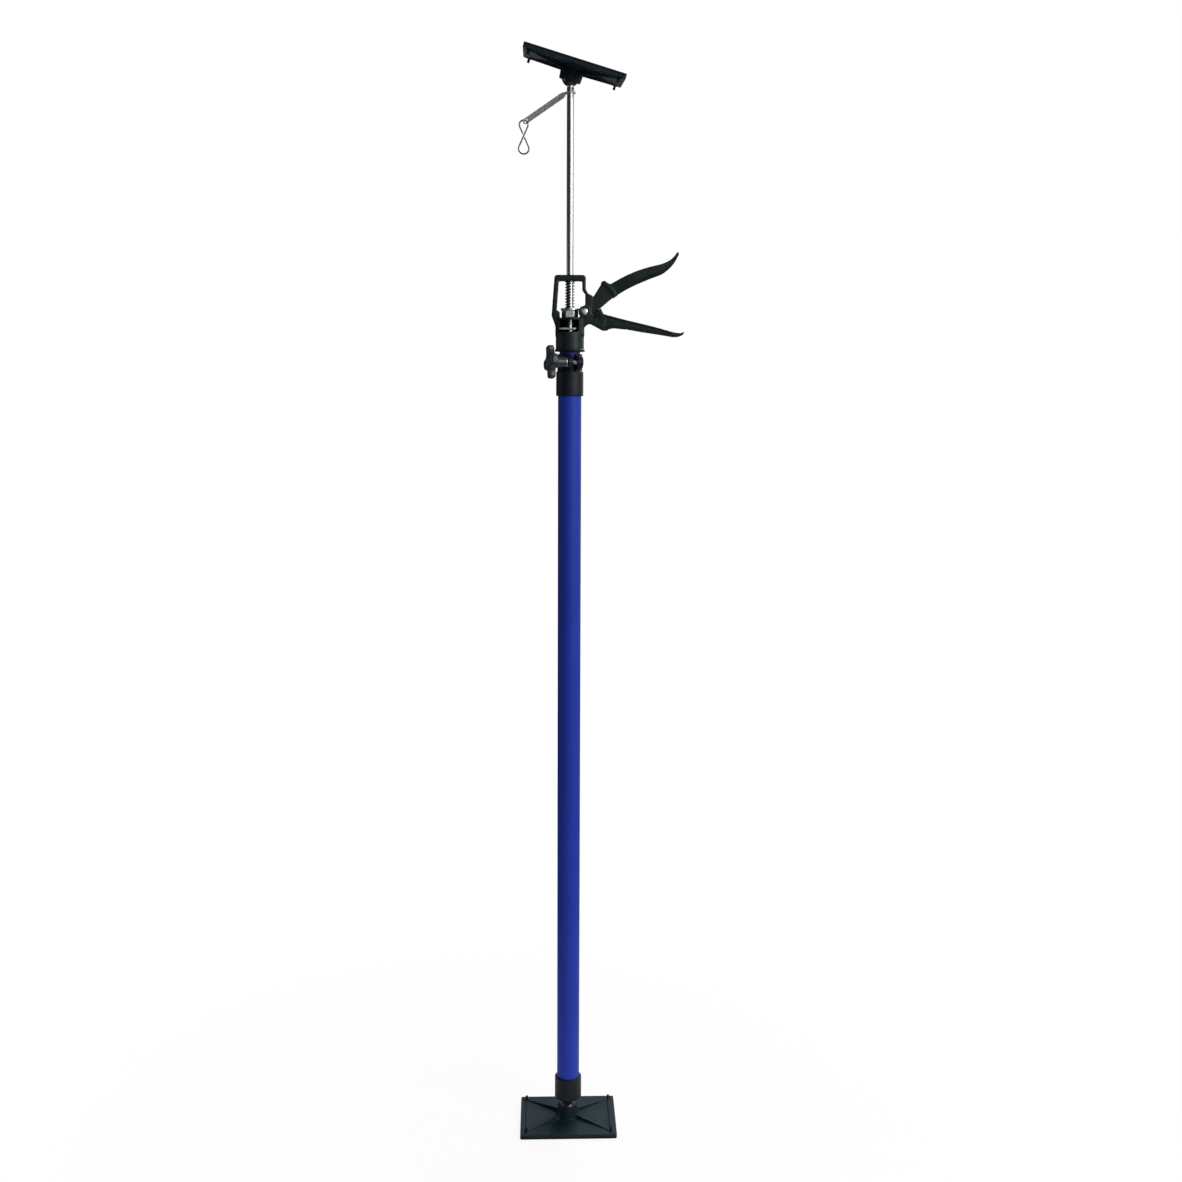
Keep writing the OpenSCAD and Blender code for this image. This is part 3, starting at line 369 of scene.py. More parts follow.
def sweep(name, path, radius, sides=16, matrix=None):
    """A round wire along a path of points, with domed ends."""
    path = np.array(path, float)
    runs = np.gradient(path, axis=0)
    runs /= np.linalg.norm(runs, axis=1)[:, None]
    side = np.cross(runs[0], (0, 0, 1) if abs(runs[0][2]) < 0.9 else (1, 0, 0))
    side /= np.linalg.norm(side)
    rings = []
    for p, run in zip(path, runs):
        side = side - run * (side @ run)
        side /= np.linalg.norm(side)
        rings.append((p, side.copy(), np.cross(run, side), radius))
    dome = [(math.sin(a), math.cos(a)) for a in (math.radians(d) for d in (0, 30, 60))]

    def domed(ring, out):
        centre, u, v, r = ring
        return [(centre + out * r * s, u, v, r * c) for s, c in dome]

    rings = domed(rings[0], -runs[0])[::-1] + rings[1:-1] + domed(rings[-1], runs[-1])
    points = []
    for centre, u, v, r in rings:
        points += [centre + r * (math.cos(t) * u + math.sin(t) * v)
                   for t in (2 * math.pi * k / sides for k in range(sides))]
    return new_piece(name, points, tube_faces(len(rings), sides), matrix, sharp=50)


# Distance fields, in millimetres, negative inside

class Block:
    """A box of voxels with its coordinates."""

    def __init__(self, lowest, highest, voxel):
        margin = 4 * voxel
        self.voxel = voxel
        self.start = np.array(lowest, float) - margin
        counts = np.ceil((np.array(highest, float) + margin - self.start) / voxel).astype(int) + 1
        x, y, z = (self.start[i] + voxel * np.arange(counts[i]) for i in range(3))
        self.x = x.astype(np.float32)[:, None, None]
        self.y = y.astype(np.float32)[None, :, None]
        self.z = z.astype(np.float32)[None, None, :]
        self.shape = tuple(counts)


def outline(u, v, points):
    """Distance from a closed outline in the plane of two coordinates."""
    best = np.full(np.broadcast(u, v).shape, np.inf, np.float32)
    inside = np.zeros(best.shape, bool)
    for (ax, ay), (bx, by) in zip(points, points[1:] + points[:1]):
        ex, ey = bx - ax, by - ay
        if ex * ex + ey * ey < 1e-12:
            continue
        share = np.clip(((u - ax) * ex + (v - ay) * ey) / (ex * ex + ey * ey), 0, 1)
        best = np.minimum(best, (u - ax - ex * share) ** 2 + (v - ay - ey * share) ** 2)
        if ay != by:
            inside ^= ((ay <= v) != (by <= v)) & (u < ax + (v - ay) * ex / ey)
    return np.where(inside, -1, 1) * np.sqrt(best)


def slab(flat, across, half, edge=0.0):
    """A flat shape's field made into a plate, half thick on each side, with rounded edges."""
    a = flat + edge
    b = np.abs(across) - half + edge
    return np.minimum(np.maximum(a, b), 0) + np.hypot(np.maximum(a, 0), np.maximum(b, 0)) - edge


def drum(radial, along, lowest, highest, edge=0.0):
    """A cylinder between two places along its axis. radial is the distance from its surface."""
    return slab(radial, along - (lowest + highest) / 2, (highest - lowest) / 2, edge)


def join(a, b, fillet=0.0):
    if fillet <= 0:
        return np.minimum(a, b)
    h = np.maximum(fillet - np.abs(a - b), 0) / fillet
    return np.minimum(a, b) - h * h * fillet / 4


def cut(a, b, fillet=0.0):
    return -join(-a, b, fillet)


def cast(name, block, field, matrix=None, keep_flat=0.012):
    """Meshes a field. Its normals come from the field itself, so that merged faces shade as smooth ones."""
    field = np.broadcast_to(field, block.shape)
    band = 3 * block.voxel
    values = np.ascontiguousarray(np.clip(field, -band, band), np.float32)
    grid = vdb.FloatGrid(band)
    grid.copyFromArray(values)
    grid.gridClass = vdb.GridClass.LEVEL_SET
    points, triangles, quads = grid.convertToPolygons(0.0, keep_flat)
    faces = [list(map(int, f))[::-1] for f in triangles] + [list(map(int, f))[::-1] for f in quads]
    slopes = np.stack([sample(part, points) for part in np.gradient(values)], axis=1)
    lengths = np.linalg.norm(slopes, axis=1)
    slopes[lengths < 1e-6] = (0, 0, 1)
    slopes /= np.linalg.norm(slopes, axis=1)[:, None]
    if matrix is not None:
        slopes = slopes @ np.array(matrix, float)[:3, :3].T
    piece = new_piece(name, block.start + points * block.voxel, faces, matrix)
    if len(piece.data.vertices) == len(slopes):
        piece.data.normals_split_custom_set_from_vertices(slopes.tolist())
    return piece


def sample(values, points):
    """Trilinear values at points, given in voxels."""
    base = np.clip(np.floor(points).astype(int), 0, np.array(values.shape) - 2)
    part = points - base
    total = np.zeros(len(points))
    for corner in np.ndindex(2, 2, 2):
        weight = np.prod(np.where(np.array(corner) == 1, part, 1 - part), axis=1)
        at = base + corner
        total += weight * values[at[:, 0], at[:, 1], at[:, 2]]
    return total


def turned(angle, axis):
    return Matrix.Rotation(math.radians(angle), 4, axis)


def moved(x, y, z):
    return Matrix.Translation((x, y, z))


# Foot and head plates, in a frame with the ball's centre at the origin and the cup opening upwards

PLATE_LENGTH, PLATE_DEPTH, PLATE_T, PLATE_CORNER = 130.0, 105.0, 4.0, 3.0
PLATE_VOXEL = 0.42
PAD_T, PAD_BORDER = 2.5, 6.0
GROOVE_PITCH, GROOVE_W, GROOVE_DEPTH = 5.0, 1.2, 0.7
BALL_R = 11.0
BALL_LIFT = 12.0
BALL_STEPS = 48
CUP_H = 16.0
CUP_ROOT_R, CUP_RIM_R = 15.0, 13.8
PLUG_AT = (57.0, 43.5)
PLUG_R, PLUG_H, PLUG_TAPER = 1.8, 6.0, 0.1
PLUG_SEAT_R, PLUG_SEAT_H = 3.6, 0.8
RIB_T, RIB_H, RIB_END_H = 3.0, 7.0, 1.2
BEAD_W, BEAD_H = 1.6, 1.0
HEAD_TILT_SIDE, HEAD_TILT_FRONT, HEAD_TURN = 16.2, 6.2, 4.2
FOOT_TURN = 2.0


def plate_outline(block):
    half_x, half_y = PLATE_LENGTH / 2, PLATE_DEPTH / 2
    corners = [(s * half_x, t * half_y, PLATE_CORNER) for s, t in ((-1, -1), (1, -1), (1, 1), (-1, 1))]
    return outline(block.x[:, :, 0], block.y[:, :, 0], rounded(corners))[:, :, None]


def from_plug(block, sx, sy):
    """Distance from the axis of the plug on sides sx and sy."""
    return np.hypot(block.x - sx * PLUG_AT[0], block.y - sy * PLUG_AT[1])


def plate_field(block):
    """A moulded plate with crossed ribs, a ball cup, edge beads and plugged corner holes."""
    x, y, z = block.x, block.y, block.z
    top = -BALL_LIFT
    field = slab(plate_outline(block), z - top + PLATE_T / 2, PLATE_T / 2, 0.7)
    radial = np.hypot(x, y)
    for sx in SIDES:
        bead = slab(np.abs(x - sx * PLUG_AT[0]) - BEAD_W / 2, y, PLUG_AT[1], 0.3)
        field = join(field, np.maximum(bead, np.abs(z - top) - BEAD_H), 0.8)
        for sy in SIDES:
            seat = drum(from_plug(block, sx, sy) - PLUG_SEAT_R, z, top - 1, top + PLUG_SEAT_H, 0.3)
            field = join(field, seat, 0.6)
    plug_reach = math.hypot(*PLUG_AT)
    rib_reach = plug_reach - 2 * PLUG_R
    for sx in SIDES:
        ux, uy = PLUG_AT[0] * sx / plug_reach, PLUG_AT[1] / plug_reach
        along = np.abs(x * ux + y * uy)
        across = x * -uy + y * ux
        height = top + RIB_H + (RIB_END_H - RIB_H) * along / rib_reach
        rib = slab(np.maximum(along - rib_reach, z - height), across, RIB_T / 2, 0.7)
        field = join(field, np.maximum(rib, top - 2 - z), 2.0)
    wall = radial - (CUP_ROOT_R + (CUP_RIM_R - CUP_ROOT_R) * (z - top) / CUP_H)
    cup = drum(wall, z, top - 2, top + CUP_H, 0.8)
    field = join(field, cup, 2.4)
    ball = np.sqrt(radial ** 2 + z ** 2) - BALL_R - PLAY
    field = cut(field, ball, 0.6)
    for sx in SIDES:
        for sy in SIDES:
            field = cut(field, from_plug(block, sx, sy) - PLUG_R - 0.02)
    return field


def pad_field(block):
    """The rubber pad: a bordered sheet with shallow grooves on its contact face, and its corner plugs."""
    x, y, z = block.x, block.y, block.z
    bottom = -BALL_LIFT - PLATE_T - PAD_T
    field = slab(plate_outline(block), z - bottom - PAD_T / 2, PAD_T / 2, 0.5)
    groove = np.abs((y + GROOVE_PITCH / 2) % GROOVE_PITCH - GROOVE_PITCH / 2) - GROOVE_W / 2
    groove = np.maximum(groove, np.abs(x) - PLATE_LENGTH / 2 + PAD_BORDER)
    groove = np.maximum(groove, np.abs(y) - PLATE_DEPTH / 2 + PAD_BORDER)
    field = cut(field, np.maximum(groove, z - bottom - GROOVE_DEPTH), 0.4)
    plug_top = PAD_T + PLATE_T + PLUG_H
    for sx in SIDES:
        for sy in SIDES:
            taper = PLUG_R * (1 - PLUG_TAPER * (z - bottom) / plug_top)
            plug = drum(from_plug(block, sx, sy) - taper, z, bottom + PAD_T / 2, bottom + plug_top, 0.5)
            field = join(field, plug, 0.3)
    return field


def make_plates():
    top = -BALL_LIFT
    half_x, half_y = PLATE_LENGTH / 2, PLATE_DEPTH / 2
    plate_low = top - PLATE_T
    plate_block = Block((-half_x, -half_y, plate_low), (half_x, half_y, top + CUP_H), PLATE_VOXEL)
    pad_block = Block((-half_x, -half_y, plate_low - PAD_T), (half_x, half_y, top + PLUG_H), PLATE_VOXEL)
    plate = plate_field(plate_block)
    pad = pad_field(pad_block)
    at_foot = moved(*middle("foot_ball")) @ turned(FOOT_TURN, "Z")
    at_head = (moved(*middle("head_ball")) @ turned(HEAD_TILT_SIDE, "Y") @ turned(HEAD_TILT_FRONT, "X")
               @ turned(HEAD_TURN, "Z") @ turned(180, "X"))
    for end, matrix in (("foot", at_foot), ("head", at_head)):
        place_piece(cast(end + "_plate_moulding", plate_block, plate, matrix), end + "_plate")
        place_piece(cast(end + "_pad_rubber", pad_block, pad, matrix), end + "_pad")
        ball = middle(end + "_ball")
        angles = [math.pi * i / BALL_STEPS for i in range(BALL_STEPS + 1)]
        arc = [(BALL_R * math.sin(t), -BALL_R * math.cos(t)) for t in angles]
        place_piece(lathe(end + "_ball_black", arc, moved(*ball)), end + "_ball")


# Pieces turned about the pole's axis

LATHE_CORNER_STEP = 18
TUBE_SEGMENTS = 128
TUBE_R, INNER_TUBE_R, TUBE_WALL = 15.0, 13.2, 1.2
SLEEVE_R, SLEEVE_BASE_R, SLEEVE_FLOOR = 18.0, 16.8, 4.0
BUSH_R, BUSH_SPIGOT_R, BUSH_BORE_R = 13.75, 11.95, 8.0
BUSH_H, BUSH_LIP_H = 17.0, 3.0
FOOT_NECK_R = 5.5
SHANK_R, SHANK_END = 5.0, 29.5
FLANGE_R, FLANGE_LOW, FLANGE_T = 9.0, 12.45, 3.0
ROD_R, ROD_BORE_H, STOP_R = 4.5, 12.05, 7.0
PEG_R = 3.0
GUIDE_R, GUIDE_H, GUIDE_FLANGE_T = 7.0, 6.4, 2.0
DRIVE_WASHER_R, DRIVE_WASHER_T = 11.8, 2.5


def turned_piece(name, cad_node, corners, matrix=None, segments=LATHE_SEGMENTS, finish=None):
    """Lathes an outline of (radius, height, corner radius)."""
    return place_piece(lathe(name, rounded(corners, LATHE_CORNER_STEP), matrix, segments), cad_node, finish)


def pipe_corners(inner, outer, bottom, top, edge):
    return [(inner, bottom, edge), (outer, bottom, edge), (outer, top, edge), (inner, top, edge)]


def thread(name, radius, depth, pitch, bottom, top, matrix=None, segments=48):
    """A helical thread between two heights, with chamfered ends."""
    steps = max(8, round((top - bottom) / pitch * 8))
    points = []
    for i in range(steps + 1):
        z = bottom + (top - bottom) * i / steps
        ease = min(1.0, (z - bottom) / pitch, (top - z) / pitch)
        for k in range(segments):
            turn = (z / pitch - k / segments) % 1
            crest = 1 - abs(2 * turn - 1)
            r = radius - depth * (1 - min(1, 1.3 * crest) * max(0.0, ease))
            angle = 2 * math.pi * k / segments
            points.append((r * math.cos(angle), r * math.sin(angle), z))
    return new_piece(name, points, tube_faces(steps + 1, segments), matrix, sharp=60)


def ball_seat(ball, side, angles):
    """A stud's hollow end around the ball at height ball, above it where side is 1, or below it where -1."""
    r = BALL_R + PLAY
    return [(r * math.sin(math.radians(t)), ball + side * r * math.cos(math.radians(t))) for t in angles]


def make_tubes():
    # The inner tube takes the darker copy of the blue paint, which is painted shade.
    for name, outer, edge, finish in (("outer_tube", TUBE_R, 0.4, None),
                                      ("inner_tube", INNER_TUBE_R, 0.35, "shaded_blue_paint")):
        corners = pipe_corners(outer - TUBE_WALL, outer, low(name).z, high(name).z, edge)
        turned_piece(name + "_painted", name, corners, segments=TUBE_SEGMENTS, finish=finish)
    bottom, top = low("foot_sleeve").z, high("foot_sleeve").z
    floor = bottom + SLEEVE_FLOOR
    turned_piece("foot_sleeve_moulded", "foot_sleeve", [
        (SHANK_R + PLAY, bottom, 0.2), (SLEEVE_BASE_R, bottom, 0.6), (SLEEVE_R, bottom + 1.2, 0.6),
        (SLEEVE_R, top - 0.6, 0.4), (SLEEVE_R - 0.6, top, 0.4), (TUBE_R + PLAY, top, 0.3),
        (TUBE_R + 0.02, floor, 0.2), (SHANK_R + PLAY, floor, 0.2)])
    bottom = low("tube_bush").z
    top = bottom + BUSH_H
    turned_piece("tube_bush_nylon", "tube_bush", [
        (BUSH_BORE_R, bottom, 0.5), (BUSH_R, bottom, 0.6), (BUSH_R, bottom + BUSH_LIP_H, 0.4),
        (BUSH_SPIGOT_R, bottom + BUSH_LIP_H, 0.1), (BUSH_SPIGOT_R, top, 0.8), (BUSH_BORE_R, top, 0.5)])


def make_studs():
    ball = middle("foot_ball").z
    flange_low, flange_top, end = (ball + h for h in (FLANGE_LOW, FLANGE_LOW + FLANGE_T, SHANK_END))
    stud = ball_seat(ball, 1, range(0, 30, 4)) + rounded([
        (FOOT_NECK_R, ball + 9.6, 0.2), (FOOT_NECK_R, flange_low, 0.5), (FLANGE_R, flange_low, 0.5),
        (FLANGE_R, flange_top, 0.5), (SHANK_R, flange_top, 0.2), (SHANK_R, end - 0.5, 0.6),
        (SHANK_R - 0.6, end, 0.2), (0, end, 0)], LATHE_CORNER_STEP)
    place_piece(lathe("foot_stud_turned", stud), "foot_stud")
    bottom, ball = low("head_stud").z, middle("head_ball").z
    strap_top = high("hook_strap").z + PLAY
    neck = rounded([
        (0, bottom, 0), (PEG_R, bottom, 0.4), (PEG_R, strap_top, 0.1), (ROD_R, strap_top, 0.3),
        (ROD_R, ball - 10.1, 0.2)], LATHE_CORNER_STEP)
    place_piece(lathe("head_stud_turned", neck + ball_seat(ball, -1, range(24, -1, -4))), "head_stud")


def make_rod():
    bottom, top = low("rod").z, high("rod").z
    bore_r, bore_end = PEG_R + 0.02, top - ROD_BORE_H
    turned_piece("rod_drawn", "rod", [
        (0, bottom, 0), (ROD_R, bottom, 0.5), (ROD_R, top, 0.3), (bore_r, top, 0.1),
        (bore_r, bore_end, 0), (0, bore_end, 0)])
    stop_low, stop_top = low("rod_stop").z, high("rod_stop").z
    turned_piece("rod_stop_ring", "rod_stop", pipe_corners(ROD_R + PLAY, STOP_R, stop_low, stop_top, 0.5))
    bottom = low("rod_guide").z
    flange_top, top = bottom + GUIDE_FLANGE_T, bottom + GUIDE_H
    turned_piece("rod_guide_nylon", "rod_guide", [
        (ROD_R + PLAY, bottom, 0.4), (INNER_TUBE_R, bottom, 0.3), (INNER_TUBE_R, flange_top, 0.3),
        (GUIDE_R, flange_top, 0.1), (GUIDE_R, top, 0.5), (ROD_R + PLAY, top, 0.4)])
    bottom = low("drive_washer").z
    turned_piece("drive_washer_zinc", "drive_washer",
                 pipe_corners(ROD_R + PLAY, DRIVE_WASHER_R, bottom, bottom + DRIVE_WASHER_T, 0.45))


# Springs, S-hook and strap

RETURN_COIL_R, RETURN_WIRE_R, RETURN_TURNS = 5.65, 0.65, 8.4
LOCK_COIL_R, LOCK_WIRE_R, LOCK_TURNS = 5.75, 0.55, 2.6
STRAP_T, STRAP_W, STRAP_HOLE_R = 1.4, 8.5, 2.35
STRAP_SLOPE, STRAP_REACH, STRAP_BEND = 34.0, 55.5, 5.2
STRAP_TWIST, STRAP_TWIST_RUN = 36.0, 6.0
S_UPPER_R, S_LOWER_R, S_PITCH, S_WIRE_R = 5.5, 6.5, 29.0, 1.0
S_HANG_TURN = 58.0
LOOP_STEPS = 40


def coil_path(mean_r, wire_r, bottom, top, turns, dead):
    """Centre of a compression spring's wire, with dead turns at each end that lie almost flat."""
    per_turn = 28
    total = turns + 2 * dead
    count = round(total * per_turn)
    live_height = top - bottom - 2 * wire_r - 2 * dead * 2 * wire_r
    points = []
    for i in range(count + 1):
        at = i / per_turn
        lower = min(at, dead) * 2 * wire_r
        live = min(max(at - dead, 0), turns) * live_height / turns
        upper = max(at - dead - turns, 0) * 2 * wire_r
        angle = 2 * math.pi * at
        height = bottom + wire_r + lower + live + upper
        points.append((mean_r * math.cos(angle), mean_r * math.sin(angle), height))
    return points


def make_springs():
    bottom, top = low("return_spring").z, high("return_spring").z
    path = coil_path(RETURN_COIL_R, RETURN_WIRE_R, bottom, top, RETURN_TURNS, 0.8)
    spring = place_piece(sweep("return_spring_wire", path, RETURN_WIRE_R), "return_spring")
    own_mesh(spring)
    bottom, top = low("lock_spring").z, high("lock_spring").z
    path = coil_path(LOCK_COIL_R, LOCK_WIRE_R, bottom, top, LOCK_TURNS, 0.6)
    spring = place_piece(sweep("lock_spring_wire", path, LOCK_WIRE_R), "lock_spring")
    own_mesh(spring)


def strap_middle():
    return high("hook_strap").z - STRAP_T / 2


def strap_hole():
    drop = (STRAP_REACH - STRAP_BEND) * math.tan(math.radians(STRAP_SLOPE))
    return (-STRAP_REACH, 0, strap_middle() - drop)


def make_hook():
    lean = math.asin((S_UPPER_R + S_LOWER_R) / S_PITCH)
    lower_centre = np.array([0, -S_PITCH])

    def on_upper(angle):
        return S_UPPER_R * np.array([math.cos(angle), math.sin(angle)])

    def on_lower(angle):
        return lower_centre + S_LOWER_R * np.array([math.cos(angle), math.sin(angle)])

    down = np.array([math.sin(lean), -math.cos(lean)])
    end_gap = 2.4 * S_WIRE_R / math.sin(2 * lean)
    upper, lower = on_upper(math.pi + lean), on_lower(lean)
    upper_end = upper + down * (S_UPPER_R / math.tan(lean) - end_gap)
    lower_end = lower - down * (S_LOWER_R / math.tan(lean) - end_gap)
    turn = math.pi + 2 * lean
    first, last = on_upper(-lean), on_lower(math.pi - lean)
    path = [upper_end + (upper - upper_end) * i / 5 for i in range(5)]
    path += [on_upper(math.pi + lean - turn * i / LOOP_STEPS) for i in range(LOOP_STEPS + 1)]
    path += [first + (last - first) * i / 8 for i in range(1, 8)]
    path += [on_lower(math.pi - lean + turn * i / LOOP_STEPS) for i in range(LOOP_STEPS + 1)]
    path += [lower + (lower_end - lower) * i / 5 for i in range(1, 6)]
    hang = math.radians(S_HANG_TURN)
    matrix = (moved(*strap_hole()) @ turned(90, "X")
              @ moved(-S_UPPER_R * math.cos(hang), -S_UPPER_R * math.sin(hang), 0))
    wire = sweep("s_hook_wire", [(p[0], p[1], 0) for p in path], S_WIRE_R, 20, matrix)
    # The S-hook's darker zinc is painted shade.
    place_piece(wire, "s_hook", "shaded_hook_wire")


def make_strap():
    """The strap leaves its eye level, bends down and twists its face towards the front."""
    slope = math.radians(STRAP_SLOPE)
    half = STRAP_T / 2
    drop = strap_hole()[2] - strap_middle()
    length = math.hypot(STRAP_REACH - STRAP_BEND, drop)
    end_r = STRAP_W * 0.8
    block = Block((-STRAP_REACH - 6.5, -STRAP_W, drop - 7), (7, STRAP_W, 2), 0.22)
    x, y, z = block.x, block.y, block.z
    along = (-x - STRAP_BEND) * math.cos(slope) - z * math.sin(slope)
    above = z * math.cos(slope) - (x + STRAP_BEND) * math.sin(slope)
    share = np.clip(along / STRAP_TWIST_RUN, 0, 1)
    twist = -math.radians(STRAP_TWIST) * share * share * (3 - 2 * share)
    across = y * np.cos(twist) + above * np.sin(twist)
    through = above * np.cos(twist) - y * np.sin(twist)
    rounding = np.hypot(np.maximum(along - length, 0), across) - STRAP_W / 2
    arm = slab(np.maximum(rounding, -along), through, half, 0.2)
    level = slab(np.maximum(np.abs(y) - STRAP_W / 2, np.maximum(x, -x - STRAP_BEND)), z, half, 0.2)
    eye = drum(np.hypot(x, y) - end_r, z, -half, half, 0.2)
    field = join(join(level, arm, 1.2), eye, 0.5)
    field = cut(field, np.hypot(x, y) - PEG_R - PLAY, 0.15)
    field = cut(field, np.hypot(along - length, across) - STRAP_HOLE_R, 0.3)
    strap = cast("hook_strap_zinc", block, field, moved(0, 0, strap_middle()))
    # The strap's lighter zinc is painted light.
    place_piece(strap, "hook_strap", "lit_strap_zinc")


# The clamp: collar, bolt, washer, insert and knob

SLIT_YAW, SLIT_W = 17.0, 6.0
COLLAR_R, SPLIT_R = 17.5, 16.0
COLLAR_H, SPLIT_H = 31.0, 22.0
BOLT_OFFSET, EAR_R, EAR_FACE, EAR_BOSS_R = 20.5, 8.0, 10.2, 6.2
EAR_DROP = EAR_R + EAR_R / 3
BOLT_R, BOLT_HEAD_AF, BOLT_HEAD_T = 3.0, 10.0, 4.0
BOLT_DISH_R, BOLT_DISH_DEPTH = 3.4, 0.35
THREAD_DEPTH, THREAD_PITCH = 0.45, 1.0
CLAMP_WASHER_R, INSERT_R = 6.5, 4.5
KNOB_FACE, KNOB_LOBES, KNOB_T = 11.8, 26.3, 9.0
KNOB_R, KNOB_SPIN = 21.0, 12.0
KNOB_BOSS_R, BUTTON_R = 6.9, 8.5
KNOB_DISH_AT, KNOB_DISH_R = 58.0, 59.3
SCALLOP_AT, SCALLOP_R = 22.5, 9.5
LOBE_HOLLOW_AT, LOBE_HOLLOW_R = 14.0, 3.4


def bolt_place():
    ear_z = high("clamp_collar").z - EAR_DROP
    return turned(SLIT_YAW, "Z") @ moved(0, -BOLT_OFFSET, ear_z) @ turned(-90, "Y")


def hexagon(u, v, across_flats):
    """Distance from a hexagon with two corners on the first coordinate's axis."""
    faces = [np.abs(u * math.sin(math.radians(a)) + v * math.cos(math.radians(a))) for a in (0, 60, 120)]
    return np.maximum(np.maximum(faces[0], faces[1]), faces[2]) - across_flats / 2


def make_collar():
    base = low("clamp_collar").z
    top = COLLAR_H + SPLIT_H
    ear_z = top - EAR_DROP
    block = Block((-COLLAR_R, -BOLT_OFFSET - EAR_R, 0), (COLLAR_R, COLLAR_R, top), 0.36)
    x, y, z = block.x, block.y, block.z
    radial = np.hypot(x, y)
    from_bolt = np.hypot(y + BOLT_OFFSET, z - ear_z)
    skirt = drum(radial - COLLAR_R, z, 0, COLLAR_H, 1.1)
    field = join(skirt, drum(radial - SPLIT_R, z, 5, top, 0.5), 0.8)
    ear = np.hypot(np.minimum(y + BOLT_OFFSET, 0), z - ear_z) - EAR_R
    ears = slab(np.maximum(ear, y + 11), x, EAR_FACE, 0.9)
    field = join(field, ears, 2.2)
    field = join(field, drum(from_bolt - EAR_BOSS_R, -x, 0, EAR_FACE, 0.4), 0.8)
    field = cut(field, drum(radial - TUBE_R - 0.02, z, -2, COLLAR_H))
    field = cut(field, drum(radial - INNER_TUBE_R - PLAY, z, COLLAR_H - 1, top + 2), 0.5)
    slit = np.maximum(np.abs(x) - SLIT_W / 2, np.maximum(y, COLLAR_H - z))
    field = cut(field, slit, 0.7)
    field = cut(field, from_bolt - BOLT_R - 0.02, 0.2)
    pocket = hexagon(z - ear_z, y + BOLT_OFFSET, BOLT_HEAD_AF + 0.04)
    field = cut(field, np.maximum(pocket, EAR_FACE - BOLT_HEAD_T - x), 0.3)
    collar = cast("clamp_collar_moulded", block, field, turned(SLIT_YAW, "Z") @ moved(0, 0, base))
    place_piece(collar, "clamp_collar")


def make_bolt():
    place = bolt_place()
    corner = BOLT_HEAD_AF / math.sqrt(3)
    block = Block((-corner, -corner, -EAR_FACE), (corner, corner, -EAR_FACE + BOLT_HEAD_T + 1), 0.2)
    x, y, z = block.x, block.y, block.z
    radial = np.hypot(x, y)
    depth = z + EAR_FACE
    head = np.maximum(hexagon(x, y, BOLT_HEAD_AF), radial - corner * 0.97 - depth * 1.2)
    head = slab(head, depth - BOLT_HEAD_T / 2, BOLT_HEAD_T / 2, 0.25)
    head = cut(head, np.maximum(radial - BOLT_DISH_R, depth - BOLT_DISH_DEPTH), 0.3)
    # The bolt's lighter zinc is painted light.
    place_piece(cast("clamp_bolt_head", block, head, place), "clamp_bolt", "lit_bolt_zinc")
    knob_middle = KNOB_LOBES + KNOB_T / 2
    start = -EAR_FACE + BOLT_HEAD_T - 1
    shank = thread("clamp_bolt_thread", BOLT_R, THREAD_DEPTH, THREAD_PITCH, start, knob_middle, place)
    shank.data.materials.append(MATERIALS["lit_bolt_zinc"])
    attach(shank, body_of["clamp_bolt"])
    hole_r = BOLT_R + PLAY
    washer_low = EAR_FACE + PLAY
    turned_piece("clamp_washer_zinc", "clamp_washer",
                 pipe_corners(hole_r, CLAMP_WASHER_R, washer_low, washer_low + 1.5, 0.3), matrix=place)
    turned_piece("knob_insert_brass", "knob_insert",
                 pipe_corners(hole_r, INSERT_R, KNOB_FACE, knob_middle + PLAY, 0.2), matrix=place)


def make_knob():
    top = KNOB_LOBES + KNOB_T
    block = Block((-KNOB_R, -KNOB_R, KNOB_FACE), (KNOB_R, KNOB_R, top), 0.36)
    x, y, z = block.x, block.y, block.z
    radial = np.hypot(x, y)

    def from_axis(distance, degrees):
        angle = math.radians(degrees + KNOB_SPIN)
        return np.hypot(x - distance * math.cos(angle), y - distance * math.sin(angle))

    rim = radial - KNOB_R
    for quarter in range(4):
        rim = cut(rim, from_axis(SCALLOP_AT, 45 + 90 * quarter) - SCALLOP_R, 3.0)
    lobes = slab(rim, z - KNOB_LOBES - KNOB_T / 2, KNOB_T / 2, 2.8)
    dish = np.sqrt(radial ** 2 + (z - top - KNOB_DISH_AT) ** 2) - KNOB_DISH_R
    lobes = cut(lobes, dish, 1.6)
    button = drum(radial - BUTTON_R, z, KNOB_LOBES + 3, top - 0.1, 0.9)
    lobes = join(lobes, button, 0.8)
    for quarter in range(4):
        hollow = from_axis(LOBE_HOLLOW_AT, 90 * quarter) - LOBE_HOLLOW_R
        lobes = cut(lobes, drum(hollow, z, KNOB_LOBES - 2, KNOB_LOBES + 3.2, 0.8), 0.8)
    boss_taper = 0.6 * (z - KNOB_FACE) / (KNOB_LOBES - KNOB_FACE)
    boss = drum(radial - KNOB_BOSS_R - boss_taper, z, KNOB_FACE, KNOB_LOBES + 3, 0.6)
    field = join(boss, lobes, 2.4)
    field = cut(field, drum(radial - INSERT_R - 0.02, z, KNOB_FACE - 2, KNOB_LOBES + KNOB_T / 2 + 0.3))
    # The knob's lighter colour is painted light.
    place_piece(cast("clamp_knob_moulded", block, field, bolt_place()), "clamp_knob", "lit_knob_black")


# The jack: casting, lever, pin, drive block and lock plate, in the jack's frame

